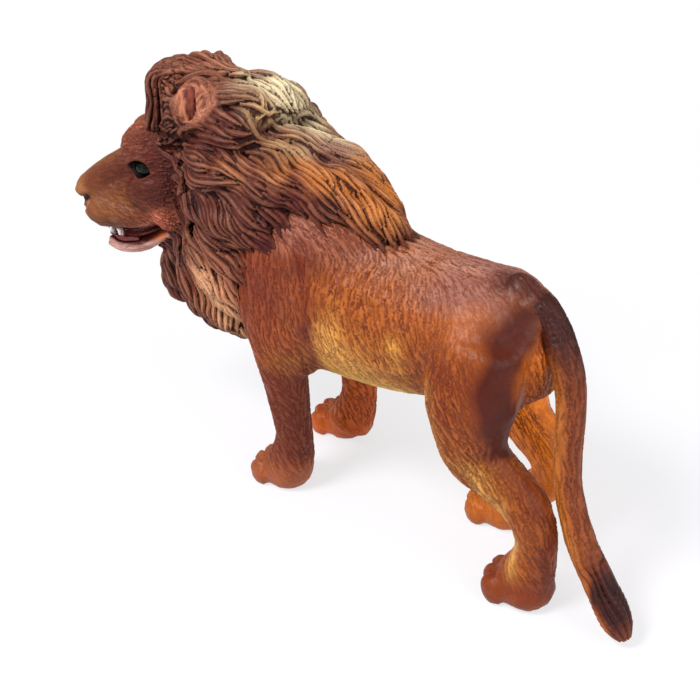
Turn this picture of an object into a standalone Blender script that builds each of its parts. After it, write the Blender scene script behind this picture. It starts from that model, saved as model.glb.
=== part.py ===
"""Toy lion figure, moulded in solid soft plastic and glued together from keyed pieces.

Units are metres, +Z is up, the lion faces -Y and its left side is +X. The origin is on the floor, midway
between the paws. The figure is laid out as a sculptor does it: each place is a share of a few overall sizes,
and each thickness has a size of its own.
"""

import math
import random

import bmesh
import bpy
from mathutils import Matrix, Vector, noise
from mathutils.bvhtree import BVHTree

# Overall sizes, of which the places in the tables are shares
BODY_WIDTH = 0.050
BODY_LENGTH = 0.100
BODY_HEIGHT = 0.100
HEAD_WIDTH = 0.020
HEAD_LENGTH = 0.040
HEAD_HEIGHT = 0.040
PAW_WIDTH = 0.0125
PAW_LENGTH = 0.0140
PAW_HEIGHT = 0.0076

# Thicknesses
TORSO_WIDTH = 0.032
TORSO_DEPTH = 0.038
NECK_WIDTH = 0.018
FORELEG_WIDTH = 0.010
HIND_LEG_WIDTH = 0.010
TAIL_WIDTH = 0.0050
MANE_WIDTH = 0.040
MANE_HEIGHT = 0.070
LOCK_LENGTH = 0.0140
LOCK_WIDTH = 0.0050
LOCK_DEPTH = 0.0040
LOCK_SPACING = 0.0048
HAIR_WAVE_LENGTH = 0.0070
EAR_ROOM = 0.0050
EYE_WIDTH = 0.0046
TONGUE_THICKNESS = 0.0016
GUM_WIDTH = 0.0012
TOOTH_WIDTH = 0.0015
TOOTH_LENGTH = 0.0028

# How the pieces are parted, keyed and glued
SEAM_GAP = 0.0003
JAW_GAP = 0.0004
COLLAR_GAP = 0.0006
BLOCK_ROUND = 0.0140
LEG_PEG_WIDTH = 0.0060
LEG_PEG_LENGTH = 0.0056
HEAD_PEG_WIDTH = 0.0070
HEAD_PEG_LENGTH = 0.0076

# Fineness of the skins, and the share of their triangles that is kept
BODY_STEP = 0.0009
MANE_STEP = 0.0012
LOCK_STEP = 0.0006
HEAD_STEP = 0.0005
PAW_STEP = 0.0004
TOOTH_STEP = 0.00024
BODY_KEPT_SHARE = 0.055
MANE_KEPT_SHARE = 0.095
SEAT_KEPT_SHARE = 0.09
HEAD_KEPT_SHARE = 0.05
SMALL_KEPT_SHARE = 0.035

HEAD_TURN = math.radians(34)
SHARP_ANGLE = math.radians(50)

BODY = Vector((BODY_WIDTH, BODY_LENGTH, BODY_HEIGHT))
HEAD = Vector((HEAD_WIDTH, HEAD_LENGTH, HEAD_HEIGHT))
PAW = Vector((PAW_WIDTH, PAW_LENGTH, PAW_HEIGHT))

# Body. Each row of a limb is x, y and z as shares of the body, then its half width and half depth.
TORSO_SHARES = (
    (0.0, -0.400, 0.50, 0.20, 0.22),
    (0.0, -0.360, 0.50, 0.34, 0.38),
    (0.0, -0.280, 0.50, 0.44, 0.47),
    (0.0, -0.180, 0.495, 0.49, 0.49),
    (0.0, -0.050, 0.485, 0.49, 0.452),
    (0.0, 0.080, 0.487, 0.46, 0.407),
    (0.0, 0.180, 0.503, 0.43, 0.357),
    (0.0, 0.270, 0.508, 0.37, 0.330),
    (0.0, 0.340, 0.495, 0.28, 0.28),
    (0.0, 0.380, 0.490, 0.15, 0.18),
)
NECK_SHARES = (
    (0.00, -0.20, 0.55, 0.60, 0.70),
    (0.00, -0.28, 0.61, 0.58, 0.62),
    (0.02, -0.34, 0.66, 0.50, 0.50),
)
FORELEG_SHARES = (
    (0.18, -0.260, 0.56, 0.55, 0.80),
    (0.22, -0.250, 0.48, 0.62, 0.84),
    (0.24, -0.230, 0.40, 0.57, 0.68),
    (0.24, -0.223, 0.33, 0.51, 0.57),
    (0.235, -0.219, 0.26, 0.46, 0.48),
    (0.23, -0.216, 0.19, 0.42, 0.43),
    (0.225, -0.218, 0.14, 0.42, 0.44),
    (0.22, -0.232, 0.09, 0.50, 0.52),
    (0.215, -0.250, 0.05, 0.54, 0.58),
)
HIND_LEG_SHARES = (
    (0.16, 0.270, 0.54, 0.74, 0.92),
    (0.22, 0.268, 0.44, 0.76, 0.95),
    (0.24, 0.272, 0.37, 0.66, 0.76),
    (0.24, 0.285, 0.315, 0.56, 0.66),
    (0.23, 0.345, 0.275, 0.49, 0.53),
    (0.225, 0.395, 0.235, 0.45, 0.46),
    (0.22, 0.415, 0.185, 0.42, 0.42),
    (0.215, 0.415, 0.135, 0.42, 0.42),
    (0.21, 0.402, 0.085, 0.48, 0.52),
    (0.20, 0.385, 0.050, 0.54, 0.58),
)
# The right hind leg steps forward
STEPPING_LEG_SHARES = (
    (-0.15, 0.238, 0.53, 0.68, 0.84),
    (-0.19, 0.220, 0.44, 0.72, 0.92),
    (-0.21, 0.210, 0.36, 0.66, 0.80),
    (-0.20, 0.240, 0.290, 0.56, 0.63),
    (-0.18, 0.290, 0.245, 0.49, 0.52),
    (-0.165, 0.335, 0.205, 0.45, 0.45),
    (-0.155, 0.330, 0.155, 0.42, 0.42),
    (-0.150, 0.295, 0.115, 0.42, 0.42),
    (-0.150, 0.250, 0.075, 0.48, 0.50),
    (-0.150, 0.225, 0.050, 0.54, 0.58),
)
# Muscles. Each row of a mass is its centre and its radii as shares, then its pitch and yaw in degrees.
MUSCLE_SHARES = (
    (0.17, -0.240, 0.53, 0.150, 0.105, 0.150, 14, 0),
    (0.23, -0.205, 0.42, 0.110, 0.080, 0.100, -18, 0),
    (0.24, -0.160, 0.375, 0.065, 0.038, 0.045, 0, 0),
    (0.12, 0.225, 0.49, 0.170, 0.115, 0.130, -10, 0),
    (0.22, 0.248, 0.385, 0.095, 0.058, 0.075, 0, 0),
    (0.09, 0.295, 0.48, 0.120, 0.060, 0.110, 0, 0),
    (0.04, -0.165, 0.590, 0.250, 0.190, 0.142, -12, 0),
)
PAW_PLACE_SHARES = {
    "front_left_leg": (0.21, -0.268, 0),
    "front_right_leg": (-0.25, -0.290, 0),
    "hind_left_leg": (0.205, 0.382, 0),
    "hind_right_leg": (-0.150, 0.215, 0),
}
PAW_PAD_SHARES = (
    (0.0, 0.08, 0.46, 0.46, 0.42, 0.62, 0, 0),
    (0.0, -0.18, 0.42, 0.46, 0.26, 0.58, -8, 0),
)
TOE_SHARES = (
    (0.0, -0.06, 0.34, 0.36, 0.36, 0.40, 0, 0),
    (-0.36, -0.27, 0.36, 0.145, 0.21, 0.44, 0, 10),
    (-0.125, -0.35, 0.38, 0.145, 0.22, 0.46, 0, 3),
    (0.125, -0.35, 0.38, 0.145, 0.22, 0.46, 0, -3),
    (0.36, -0.27, 0.36, 0.145, 0.21, 0.44, 0, -10),
)
TAIL_SHARES = (
    (0.000, 0.305, 0.612, 0.70, 0.70),
    (0.000, 0.340, 0.597, 0.66, 0.66),
    (0.010, 0.374, 0.565, 0.60, 0.60),
    (0.036, 0.402, 0.528, 0.54, 0.54),
    (0.060, 0.426, 0.480, 0.50, 0.50),
    (0.072, 0.434, 0.410, 0.47, 0.47),
    (0.084, 0.436, 0.340, 0.46, 0.46),
    (0.104, 0.444, 0.280, 0.46, 0.46),
    (0.134, 0.468, 0.225, 0.47, 0.47),
    (0.158, 0.496, 0.175, 0.52, 0.52),
    (0.174, 0.530, 0.130, 0.64, 0.60),
    (0.184, 0.560, 0.090, 0.66, 0.60),
    (0.196, 0.588, 0.050, 0.50, 0.44),
    (0.200, 0.606, 0.022, 0.16, 0.16),
)
# The room of each leg: its side, front, back, flat seam, step, top and inner side
LEG_ROOM_SHARES = {
    "front_left_leg": (1, -0.46, -0.09, 0.15, 0.335, 0.63, 0.02),
    "front_right_leg": (-1, -0.46, -0.09, 0.15, 0.335, 0.63, 0.02),
    "hind_left_leg": (1, 0.105, 0.60, 0.13, 0.385, 0.565, 0.02),
    "hind_right_leg": (-1, 0.105, 0.60, 0.13, 0.385, 0.565, 0.02),
}
LEG_PEG_SHARES = {
    "front_left_leg": (0.19, -0.24, 0.50),
    "front_right_leg": (-0.19, -0.24, 0.50),
    "hind_left_leg": (0.17, 0.25, 0.475),
    "hind_right_leg": (-0.17, 0.25, 0.475),
}

# Mane: the hair's mass over neck and chest, as shares of the body
MANE_SHARES = (
    (0.00, 0.010, 0.652, 0.07, 0.025),
    (0.00, -0.055, 0.682, 0.15, 0.045),
    (0.00, -0.120, 0.712, 0.22, 0.062),
    (0.00, -0.195, 0.726, 0.30, 0.100),
    (0.00, -0.280, 0.692, 0.380, 0.258),
    (0.01, -0.370, 0.696, 0.40, 0.300),
    (0.02, -0.450, 0.686, 0.34, 0.288),
)
CHEST_SHARES = (
    (0.05, -0.405, 0.50, 0.290, 0.145, 0.165, 0, 0),
    (0.00, -0.350, 0.56, 0.330, 0.120, 0.190, 0, 0),
)
# The ruff, beard and crown, the forelock and the ears turn with the head and are shares of it
RUFF_SHARES = (
    (0.00, 0.16, 0.10, 0.80, 0.27, 0.46, 0, 0),
    (0.00, -0.19, -0.47, 0.34, 0.12, 0.21, 0, 0),
    (0.00, 0.02, 0.41, 0.60, 0.26, 0.24, 0, 0),
)
FORELOCK_SHARES = (
    (-0.08, -0.17, 0.30, 0.10, 0.060),
    (-0.08, -0.195, 0.42, 0.10, 0.065),
    (-0.08, -0.205, 0.54, 0.10, 0.070),
    (-0.08, -0.185, 0.64, 0.10, 0.070),
)
FORELOCK_STEP_SHARES = (0.0, 0.13, 0.26)
EAR_SHARES = ((0.50, 0.070, 0.52, 0.17, 0.085, 0.135, -10, 40),)
EAR_HOLLOW_SHARES = ((0.60, 0.025, 0.53, 0.12, 0.070, 0.095, -10, 40),)
# How fully a lock spreads away from the face, how it is drawn back and down, and how far it waves sideways
HAIR_SPREAD_SHARE = 0.8
HAIR_FALL_SHARES = (0, 0.75, -0.40)
HAIR_WAVE_SHARE = 0.7
LOCK_ROOT_SHARE = -0.45
LOCK_TIP_SHARE = 0.30
LOCK_PROUD_SHARE = 0.14
LOCK_ROWS = 8

# Head, in its own frame: x to the lion's left, -y ahead, z up, from the middle of the face opening
HEAD_PLACE_SHARES = (0.07, -0.49, 0.671)
HEAD_PEG_SHARES = (0, 0.10, 0.10)
MUZZLE_SHARES = (
    (0.0, -0.10, 0.010, 0.34, 0.200),
    (0.0, -0.30, -0.010, 0.31, 0.180),
    (0.0, -0.46, -0.050, 0.265, 0.152),
    (0.0, -0.60, -0.078, 0.225, 0.122),
    (0.0, -0.68, -0.088, 0.190, 0.100),
    (0.0, -0.715, -0.090, 0.130, 0.070),
)
BRIDGE_SHARES = (
    (0.0, -0.30, 0.170, 0.27, 0.110),
    (0.0, -0.42, 0.125, 0.22, 0.090),
    (0.0, -0.54, 0.070, 0.19, 0.085),
    (0.0, -0.66, 0.010, 0.165, 0.070),
    (0.0, -0.715, -0.015, 0.130, 0.055),
)
# Cranium, forehead, nose and upper lip
SKULL_SHARES = (
    (0.00, -0.09, 0.165, 0.45, 0.300, 0.255, 0, 0),
    (0.00, -0.24, 0.215, 0.31, 0.190, 0.165, 0, 0),
    (0.00, -0.70, -0.020, 0.170, 0.060, 0.070, 0, 0),
    (0.00, -0.64, -0.130, 0.160, 0.070, 0.090, 0, 0),
)
# Brow, whisker pad, lip, cheekbone, jaw muscle, lid and eye socket of the left side
FACE_SHARES = (
    (0.14, -0.280, 0.228, 0.225, 0.150, 0.135, -20, 0),
    (0.12, -0.570, -0.125, 0.185, 0.140, 0.110, 0, 0),
    (0.20, -0.400, -0.130, 0.180, 0.190, 0.095, 0, 0),
    (0.30, -0.235, 0.000, 0.170, 0.190, 0.125, 0, 0),
    (0.30, -0.140, -0.110, 0.190, 0.170, 0.135, 0, 0),
    (0.25, -0.325, 0.205, 0.140, 0.100, 0.055, 25, 0),
    (0.20, -0.295, 0.130, 0.140, 0.100, 0.085, 0, 0),
)
JAW_SHARES = (
    (0.0, -0.150, -0.215, 0.310, 0.055),
    (0.0, -0.250, -0.270, 0.280, 0.048),
    (0.0, -0.325, -0.308, 0.250, 0.045),
    (0.0, -0.425, -0.350, 0.215, 0.055),
    (0.0, -0.535, -0.355, 0.185, 0.055),
    (0.0, -0.610, -0.320, 0.130, 0.055),
)
MOUTH_SHARES = ((0.0, -0.390, -0.235, 0.200, 0.200, 0.055, 0, 0),)
JAW_TROUGH_SHARES = ((0.0, -0.400, -0.275, 0.150, 0.170, 0.045, 12, 0),)
TONGUE_SHARES = (
    (0.0, -0.230, -0.225, 0.120, 0.50),
    (0.0, -0.340, -0.268, 0.135, 0.50),
    (0.0, -0.450, -0.298, 0.130, 0.50),
    (0.0, -0.530, -0.292, 0.090, 0.36),
)
UPPER_GUM_SHARES = (
    (-0.190, -0.420, -0.205, 0.50, 0.50),
    (-0.170, -0.530, -0.215, 0.50, 0.50),
    (-0.080, -0.605, -0.220, 0.50, 0.50),
    (0.080, -0.605, -0.220, 0.50, 0.50),
    (0.170, -0.530, -0.215, 0.50, 0.50),
    (0.190, -0.420, -0.205, 0.50, 0.50),
)
LOWER_GUM_SHARES = (
    (-0.165, -0.420, -0.300, 0.50, 0.50),
    (-0.140, -0.520, -0.310, 0.50, 0.50),
    (-0.060, -0.590, -0.290, 0.50, 0.50),
    (0.060, -0.590, -0.290, 0.50, 0.50),
    (0.140, -0.520, -0.310, 0.50, 0.50),
    (0.165, -0.420, -0.300, 0.50, 0.50),
)
# The height of each tooth along a gum, and how much of its foot is left at its point
TOOTH_SHARES = (1, 0.6, 0.6, 1)
TOOTH_POINT_SHARE = 0.32
EYE_SHARES = {"left_eye": (0.235, -0.322, 0.135), "right_eye": (-0.235, -0.322, 0.135)}

# The paint of each piece and its roughness, then the frame and place of the piece's own origin
PAINT = {
    "torso": ((0.42, 0.17, 0.06), 0.55, "body", (0, 0, 0.50)),
    "mane": ((0.16, 0.055, 0.03), 0.60, "body", (0.02, -0.35, 0.66)),
    "front_left_leg": ((0.22, 0.075, 0.035), 0.55, "body", (0.15, -0.24, 0.50)),
    "front_right_leg": ((0.40, 0.13, 0.045), 0.55, "body", (-0.15, -0.24, 0.50)),
    "hind_left_leg": ((0.45, 0.19, 0.07), 0.55, "body", (0.13, 0.25, 0.475)),
    "hind_right_leg": ((0.45, 0.17, 0.06), 0.55, "body", (-0.13, 0.25, 0.475)),
    "tail": ((0.25, 0.09, 0.04), 0.55, "body", (0, 0.345, 0.61)),
    "head": ((0.20, 0.09, 0.05), 0.50, "head", (0, 0, 0)),
    "lower_jaw": ((0.48, 0.28, 0.20), 0.50, "head", (0, -0.15, -0.215)),
    "tongue": ((0.22, 0.035, 0.03), 0.35, "head", (0, -0.23, -0.225)),
    "upper_teeth": ((0.75, 0.72, 0.62), 0.30, "head", (0, -0.605, -0.220)),
    "lower_teeth": ((0.75, 0.72, 0.62), 0.30, "head", (0, -0.590, -0.290)),
    "left_eye": ((0.02, 0.022, 0.012), 0.12, "head", EYE_SHARES["left_eye"]),
    "right_eye": ((0.02, 0.022, 0.012), 0.12, "head", EYE_SHARES["right_eye"]),
}


# Placing


def scaled(shares, size):
    return Vector([share * length for share, length in zip(shares, size)])


HEAD_PLACE = Matrix.Translation(scaled(HEAD_PLACE_SHARES, BODY)) @ Matrix.Rotation(HEAD_TURN, 4, "Z")


def mirrored(rows):
    return [(-row[0], *row[1:]) for row in rows]


def mirrored_masses(rows):
    return [(-row[0], *row[1:7], -row[7]) for row in rows]


def smoothed_rows(rows, steps=4):
    """More rows, on a smooth curve through the given ones."""
    fine = []
    for i in range(len(rows) - 1):
        before = rows[max(i - 1, 0)]
        after = rows[min(i + 2, len(rows) - 1)]
        for step in range(steps):
            t = step / steps
            row = []
            for a, b, c, d in zip(before, rows[i], rows[i + 1], after):
                bend = (2 * a - 5 * b + 4 * c - d) * t**2 + (3 * b - a - 3 * c + d) * t**3
                row.append(0.5 * (2 * b + (c - a) * t + bend))
            fine.append(row)
    fine.append(list(rows[-1]))
    return fine


# Making shapes


def as_cutter(name, mesh):
    """An object that only shapes others: it is drawn as wire and never rendered."""
    obj = bpy.data.objects.new(name, mesh)
    bpy.data.collections["cutters"].objects.link(obj)
    obj.hide_render = True
    obj.display_type = "WIRE"
    return obj


def form_of(name, bm):
    bmesh.ops.recalc_face_normals(bm, faces=bm.faces)
    mesh = bpy.data.meshes.new(name)
    bm.to_mesh(mesh)
    bm.free()
    return as_cutter(name, mesh)


def piece_of(obj, name):
    """A piece of the toy that starts as a copy of a form."""
    copy = bpy.data.objects.new(name, obj.data.copy())
    bpy.data.collections["lion"].objects.link(copy)
    return copy


def settled(obj):
    """Keeps what the object's modifiers make of it as its own mesh."""
    bpy.context.view_layer.update()
    graph = bpy.context.evaluated_depsgraph_get()
    mesh = bpy.data.meshes.new_from_object(obj.evaluated_get(graph))
    obj.modifiers.clear()
    obj.data = mesh
    return obj


def add_tube(bm, rings, sides=20):
    """A closed tube through rings of centre, half width vector and half depth vector."""
    start = bmesh.ops.create_circle(bm, cap_ends=True, segments=sides, radius=1)["verts"]
    angles = [2 * math.pi * k / sides for k in range(sides)]
    previous = {vert: k for k, vert in enumerate(start)}
    face = start[0].link_faces[0]
    for i, (centre, across, rise) in enumerate(rings):
        if i:
            made = bmesh.ops.extrude_face_region(bm, geom=[face])["geom"]
            face = next(item for item in made if isinstance(item, bmesh.types.BMFace))
            order = {}
            for vert in face.verts:
                below = next(e.other_vert(vert) for e in vert.link_edges if e.other_vert(vert) in previous)
                order[vert] = previous[below]
            previous = order
        for vert, k in previous.items():
            vert.co = centre + across * math.cos(angles[k]) + rise * math.sin(angles[k])


def add_sweep(bm, shares, size, width, depth, place=None, beside=(1, 0, 0)):
    """A tube through rows of x, y, z, half width and half depth, its ovals square to its path."""
    place = place or Matrix.Identity(4)
    turn = place.to_3x3()
    rows = smoothed_rows(shares)
    centres = [scaled(row[:3], size) for row in rows]
    rings = []
    for i, row in enumerate(rows):
        ahead = (centres[min(i + 1, len(rows) - 1)] - centres[max(i - 1, 0)]).normalized()
        across = (Vector(beside) - ahead * ahead.dot(beside)).normalized()
        rise = ahead.cross(across)
        rings.append((place @ centres[i], turn @ across * row[3] * width, turn @ rise * row[4] * depth))
    add_tube(bm, rings)


def add_mass(bm, row, size, place=None):
    """An egg-shaped mass."""
    placed = (
        (place or Matrix.Identity(4))
        @ Matrix.Translation(scaled(row[:3], size))
        @ Matrix.Rotation(math.radians(row[7]), 4, "Z")
        @ Matrix.Rotation(math.radians(row[6]), 4, "X")
        @ Matrix.Diagonal((*scaled(row[3:6], size), 1))
    )
    bmesh.ops.create_uvsphere(bm, u_segments=20, v_segments=14, radius=1, matrix=placed)


def masses(name, rows, size, place=None):
    bm = bmesh.new()
    for row in rows:
        add_mass(bm, row, size, place)
    return form_of(name, bm)


def ball(name, centre, width):
    bm = bmesh.new()
    place = Matrix.Translation(centre)
    bmesh.ops.create_uvsphere(bm, u_segments=14, v_segments=8, radius=width / 2, matrix=place)
    return form_of(name, bm)


def rod(name, start, direction, width, length):
    """A round peg or socket, from start along direction."""
    bm = bmesh.new()
    turn = direction.to_track_quat("Z", "Y").to_matrix().to_4x4()
    place = Matrix.Translation(start + direction * length / 2) @ turn
    radius = width / 2
    bmesh.ops.create_cone(
        bm, cap_ends=True, segments=20, radius1=radius, radius2=radius, depth=length, matrix=place
    )
    return form_of(name, bm)


def thinned(obj, share):
    thin = obj.modifiers.new("Thin", "DECIMATE")
    thin.ratio = share
    thin.use_collapse_triangulate = True


def melted(obj, step, passes, kept_share):
    """Melts the object's overlapping shapes into one skin, then smooths it and thins its triangles."""
    melt = obj.modifiers.new("Melt", "REMESH")
    melt.mode = "VOXEL"
    melt.voxel_size = step
    soften = obj.modifiers.new("Soften", "SMOOTH")
    soften.factor = 0.5
    soften.iterations = passes
    thinned(obj, kept_share)
    return settled(obj)


def seat_of(obj, gap, kept_share=1.0):
    """A copy of a form, swollen all round by the gap, that cuts the room for it."""
    seat = as_cutter(obj.name + "_seat", obj.data.copy())
    thinned(seat, kept_share)
    swell = seat.modifiers.new("Swell", "DISPLACE")
    swell.strength = gap
    swell.mid_level = 0
    return settled(seat)


def combined(obj, other, operation):
    join = obj.modifiers.new(operation.title(), "BOOLEAN")
    join.operation = operation
    join.solver = "EXACT"
    join.object = other
    return settled(obj)


def pegged(peg_piece, socket_piece, start, direction, width, length):
    """Puts a round peg on one piece and its socket, a glue gap wider and deeper, in the other."""
    peg = rod(peg_piece.name + "_peg", start, direction, width, length)
    socket = rod(
        peg_piece.name + "_socket", start, direction, width + 2 * SEAM_GAP, length + SEAM_GAP
    )
    combined(peg_piece, peg, "UNION")
    combined(socket_piece, socket, "DIFFERENCE")


def drop_crumbs(obj):
    """Drops the loose crumbs that a cut leaves behind."""
    bm = bmesh.new()
    bm.from_mesh(obj.data)
    left = set(bm.verts)
    pieces = []
    while left:
        piece = set()
        waiting = [left.pop()]
        while waiting:
            vert = waiting.pop()
            piece.add(vert)
            for link in vert.link_edges:
                other = link.other_vert(vert)
                if other in left:
                    left.remove(other)
                    waiting.append(other)
        pieces.append(piece)
    pieces.sort(key=len)
    crumbs = [vert for piece in pieces[:-1] for vert in piece]
    bmesh.ops.delete(bm, geom=crumbs, context="VERTS")
    bm.to_mesh(obj.data)
    bm.free()


def flatten_soles(obj):
    """Cuts the soles flat at the floor and closes them."""
    bm = bmesh.new()
    bm.from_mesh(obj.data)
    whole = bm.verts[:] + bm.edges[:] + bm.faces[:]
    bmesh.ops.bisect_plane(bm, geom=whole, plane_co=(0, 0, 0), plane_no=(0, 0, 1), clear_inner=True)
    bmesh.ops.holes_fill(bm, edges=[edge for edge in bm.edges if edge.is_boundary], sides=0)
    bmesh.ops.triangulate(bm, faces=[face for face in bm.faces if len(face.verts) > 3])
    bmesh.ops.recalc_face_normals(bm, faces=bm.faces)
    bm.to_mesh(obj.data)
    bm.free()


# Body and legs


def body_form():
    """Barrel, neck, legs and paws in one skin."""
    bm = bmesh.new()
    add_sweep(bm, TORSO_SHARES, BODY, TORSO_WIDTH, TORSO_DEPTH)
    add_sweep(bm, NECK_SHARES, BODY, NECK_WIDTH, NECK_WIDTH)
    for rows in (FORELEG_SHARES, mirrored(FORELEG_SHARES)):
        add_sweep(bm, rows, BODY, FORELEG_WIDTH, FORELEG_WIDTH)
    for rows in (HIND_LEG_SHARES, STEPPING_LEG_SHARES):
        add_sweep(bm, rows, BODY, HIND_LEG_WIDTH, HIND_LEG_WIDTH)
    for row in (*MUSCLE_SHARES, *mirrored_masses(MUSCLE_SHARES)):
        add_mass(bm, row, BODY)
    for shares in PAW_PLACE_SHARES.values():
        for row in PAW_PAD_SHARES:
            add_mass(bm, row, PAW, Matrix.Translation(scaled(shares, BODY)))
    form = melted(form_of("body_form", bm), BODY_STEP, 8, BODY_KEPT_SHARE)
    flatten_soles(form)
    return form


def toes_form(leg_name):
    """Four round toes side by side, their soles flat on the floor."""
    place = Matrix.Translation(scaled(PAW_PLACE_SHARES[leg_name], BODY))
    toes = masses(leg_name + "_toes", TOE_SHARES, PAW, place)
    melted(toes, PAW_STEP, 2, SMALL_KEPT_SHARE)
    flatten_soles(toes)
    return toes


def leg_room(name, gap):
    """What a leg takes of the body: all below the belly, and above it what lies outside a flat seam."""
    side, *shares = LEG_ROOM_SHARES[name]
    front = shares[0] * BODY_LENGTH - gap
    back = shares[1] * BODY_LENGTH + gap
    seam = shares[2] * BODY_WIDTH - gap
    step = shares[3] * BODY_HEIGHT + gap
    top = shares[4] * BODY_HEIGHT + gap
    inner = shares[5] * BODY_WIDTH - gap
    outline = (
        (seam, top),
        (BODY_WIDTH, top),
        (BODY_WIDTH, -BODY_HEIGHT),
        (inner, -BODY_HEIGHT),
        (inner, step),
        (seam, step),
    )
    bm = bmesh.new()
    face = bm.faces.new([bm.verts.new((side * x, front, z)) for x, z in outline])
    made = bmesh.ops.extrude_face_region(bm, geom=[face])["geom"]
    moved = [item for item in made if isinstance(item, bmesh.types.BMVert)]
    bmesh.ops.translate(bm, verts=moved, vec=(0, back - front, 0))
    near = SEAM_GAP / 10
    shoulders = [
        edge
        for edge in bm.edges
        if all(abs(vert.co.z - top) < near for vert in edge.verts)
        and abs(edge.verts[0].co.y - edge.verts[1].co.y) < near
    ]
    rounding = BLOCK_ROUND + gap
    bmesh.ops.bevel(bm, geom=shoulders, offset=rounding, segments=7, profile=0.5, affect="EDGES")
    return form_of(name + "_room", bm)


def make_legs(form, torso):
    for name, peg_shares in LEG_PEG_SHARES.items():
        leg = combined(piece_of(form, name), leg_room(name, 0), "INTERSECT")
        combined(torso, leg_room(name, SEAM_GAP), "DIFFERENCE")
        inward = Vector((-LEG_ROOM_SHARES[name][0], 0, 0))
        pegged(leg, torso, scaled(peg_shares, BODY), inward, LEG_PEG_WIDTH, LEG_PEG_LENGTH)
        combined(leg, toes_form(name), "UNION")


def make_tail(torso):
    """The tail and its tuft in one, its root sunk in the rump."""
    bm = bmesh.new()
    add_sweep(bm, TAIL_SHARES, BODY, TAIL_WIDTH, TAIL_WIDTH)
    form = melted(form_of("tail_form", bm), PAW_STEP, 2, SMALL_KEPT_SHARE)
    piece_of(form, "tail")
    combined(torso, seat_of(form, SEAM_GAP), "DIFFERENCE")
    drop_crumbs(torso)


# Head


def skull_form():
    bm = bmesh.new()
    for rows in (MUZZLE_SHARES, BRIDGE_SHARES):
        add_sweep(bm, rows, HEAD, HEAD_WIDTH, HEAD_HEIGHT, place=HEAD_PLACE)
    for row in (*SKULL_SHARES, *FACE_SHARES, *mirrored_masses(FACE_SHARES)):
        add_mass(bm, row, HEAD, HEAD_PLACE)
    return melted(form_of("skull_form", bm), HEAD_STEP, 14, HEAD_KEPT_SHARE)


def jaw_form():
    bm = bmesh.new()
    add_sweep(bm, JAW_SHARES, HEAD, HEAD_WIDTH, HEAD_HEIGHT, place=HEAD_PLACE)
    return melted(form_of("jaw_form", bm), PAW_STEP, 3, SMALL_KEPT_SHARE)


def tongue_form():
    bm = bmesh.new()
    add_sweep(bm, TONGUE_SHARES, HEAD, HEAD_WIDTH, TONGUE_THICKNESS, place=HEAD_PLACE)
    return melted(form_of("tongue_form", bm), TOOTH_STEP, 2, SMALL_KEPT_SHARE)


def gum_form(name, rows, upward):
    """A bar of gum with pointed teeth along it, the two at its corners the longest."""
    bm = bmesh.new()
    add_sweep(bm, rows, HEAD, GUM_WIDTH, GUM_WIDTH, place=HEAD_PLACE, beside=(0, 0, 1))
    turn = Matrix.Rotation(0 if upward > 0 else math.pi, 4, "X")
    for row, share in zip(rows[1:5], TOOTH_SHARES):
        length = TOOTH_LENGTH * share
        middle = scaled(row[:3], HEAD) + Vector((0, 0, upward * length / 2))
        bmesh.ops.create_cone(
            bm,
            cap_ends=True,
            segments=12,
            radius1=TOOTH_WIDTH / 2,
            radius2=TOOTH_WIDTH / 2 * TOOTH_POINT_SHARE,
            depth=length,
            matrix=HEAD_PLACE @ Matrix.Translation(middle) @ turn,
        )
    return melted(form_of(name, bm), TOOTH_STEP, 1, SMALL_KEPT_SHARE)


def make_head(skull, jaw):
    """The head with its mouth, jaw, gums, tongue and eyes, each in its own seat."""
    head = piece_of(skull, "head")
    upper_gum = gum_form("upper_gum", UPPER_GUM_SHARES, -1)
    piece_of(upper_gum, "upper_teeth")
    combined(head, masses("mouth", MOUTH_SHARES, HEAD, HEAD_PLACE), "DIFFERENCE")
    combined(head, seat_of(jaw, JAW_GAP), "DIFFERENCE")
    combined(head, seat_of(upper_gum, SEAM_GAP), "DIFFERENCE")
    for name, shares in EYE_SHARES.items():
        centre = HEAD_PLACE @ scaled(shares, HEAD)
        piece_of(ball(name + "_form", centre, EYE_WIDTH), name)
        combined(head, ball(name + "_socket", centre, EYE_WIDTH + 2 * SEAM_GAP), "DIFFERENCE")
    drop_crumbs(head)

    lower_jaw = piece_of(jaw, "lower_jaw")
    lower_gum = gum_form("lower_gum", LOWER_GUM_SHARES, 1)
    piece_of(lower_gum, "lower_teeth")
    tongue = tongue_form()
    piece_of(tongue, "tongue")
    combined(lower_jaw, masses("trough", JAW_TROUGH_SHARES, HEAD, HEAD_PLACE), "DIFFERENCE")
    combined(lower_jaw, seat_of(lower_gum, SEAM_GAP), "DIFFERENCE")
    combined(lower_jaw, seat_of(tongue, SEAM_GAP), "DIFFERENCE")
    drop_crumbs(lower_jaw)
    return head


# Mane


def mane_flow(point, normal, face):
    """The way that the hair lies at a place: away from the face, back and down, in slow waves."""
    heading = (point - face).normalized() * HAIR_SPREAD_SHARE + Vector(HAIR_FALL_SHARES)
    heading = (heading - normal * heading.dot(normal)).normalized()
    wave = HAIR_WAVE_SHARE * noise.noise(point / HAIR_WAVE_LENGTH)
    return (heading + normal.cross(heading) * wave).normalized()


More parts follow.
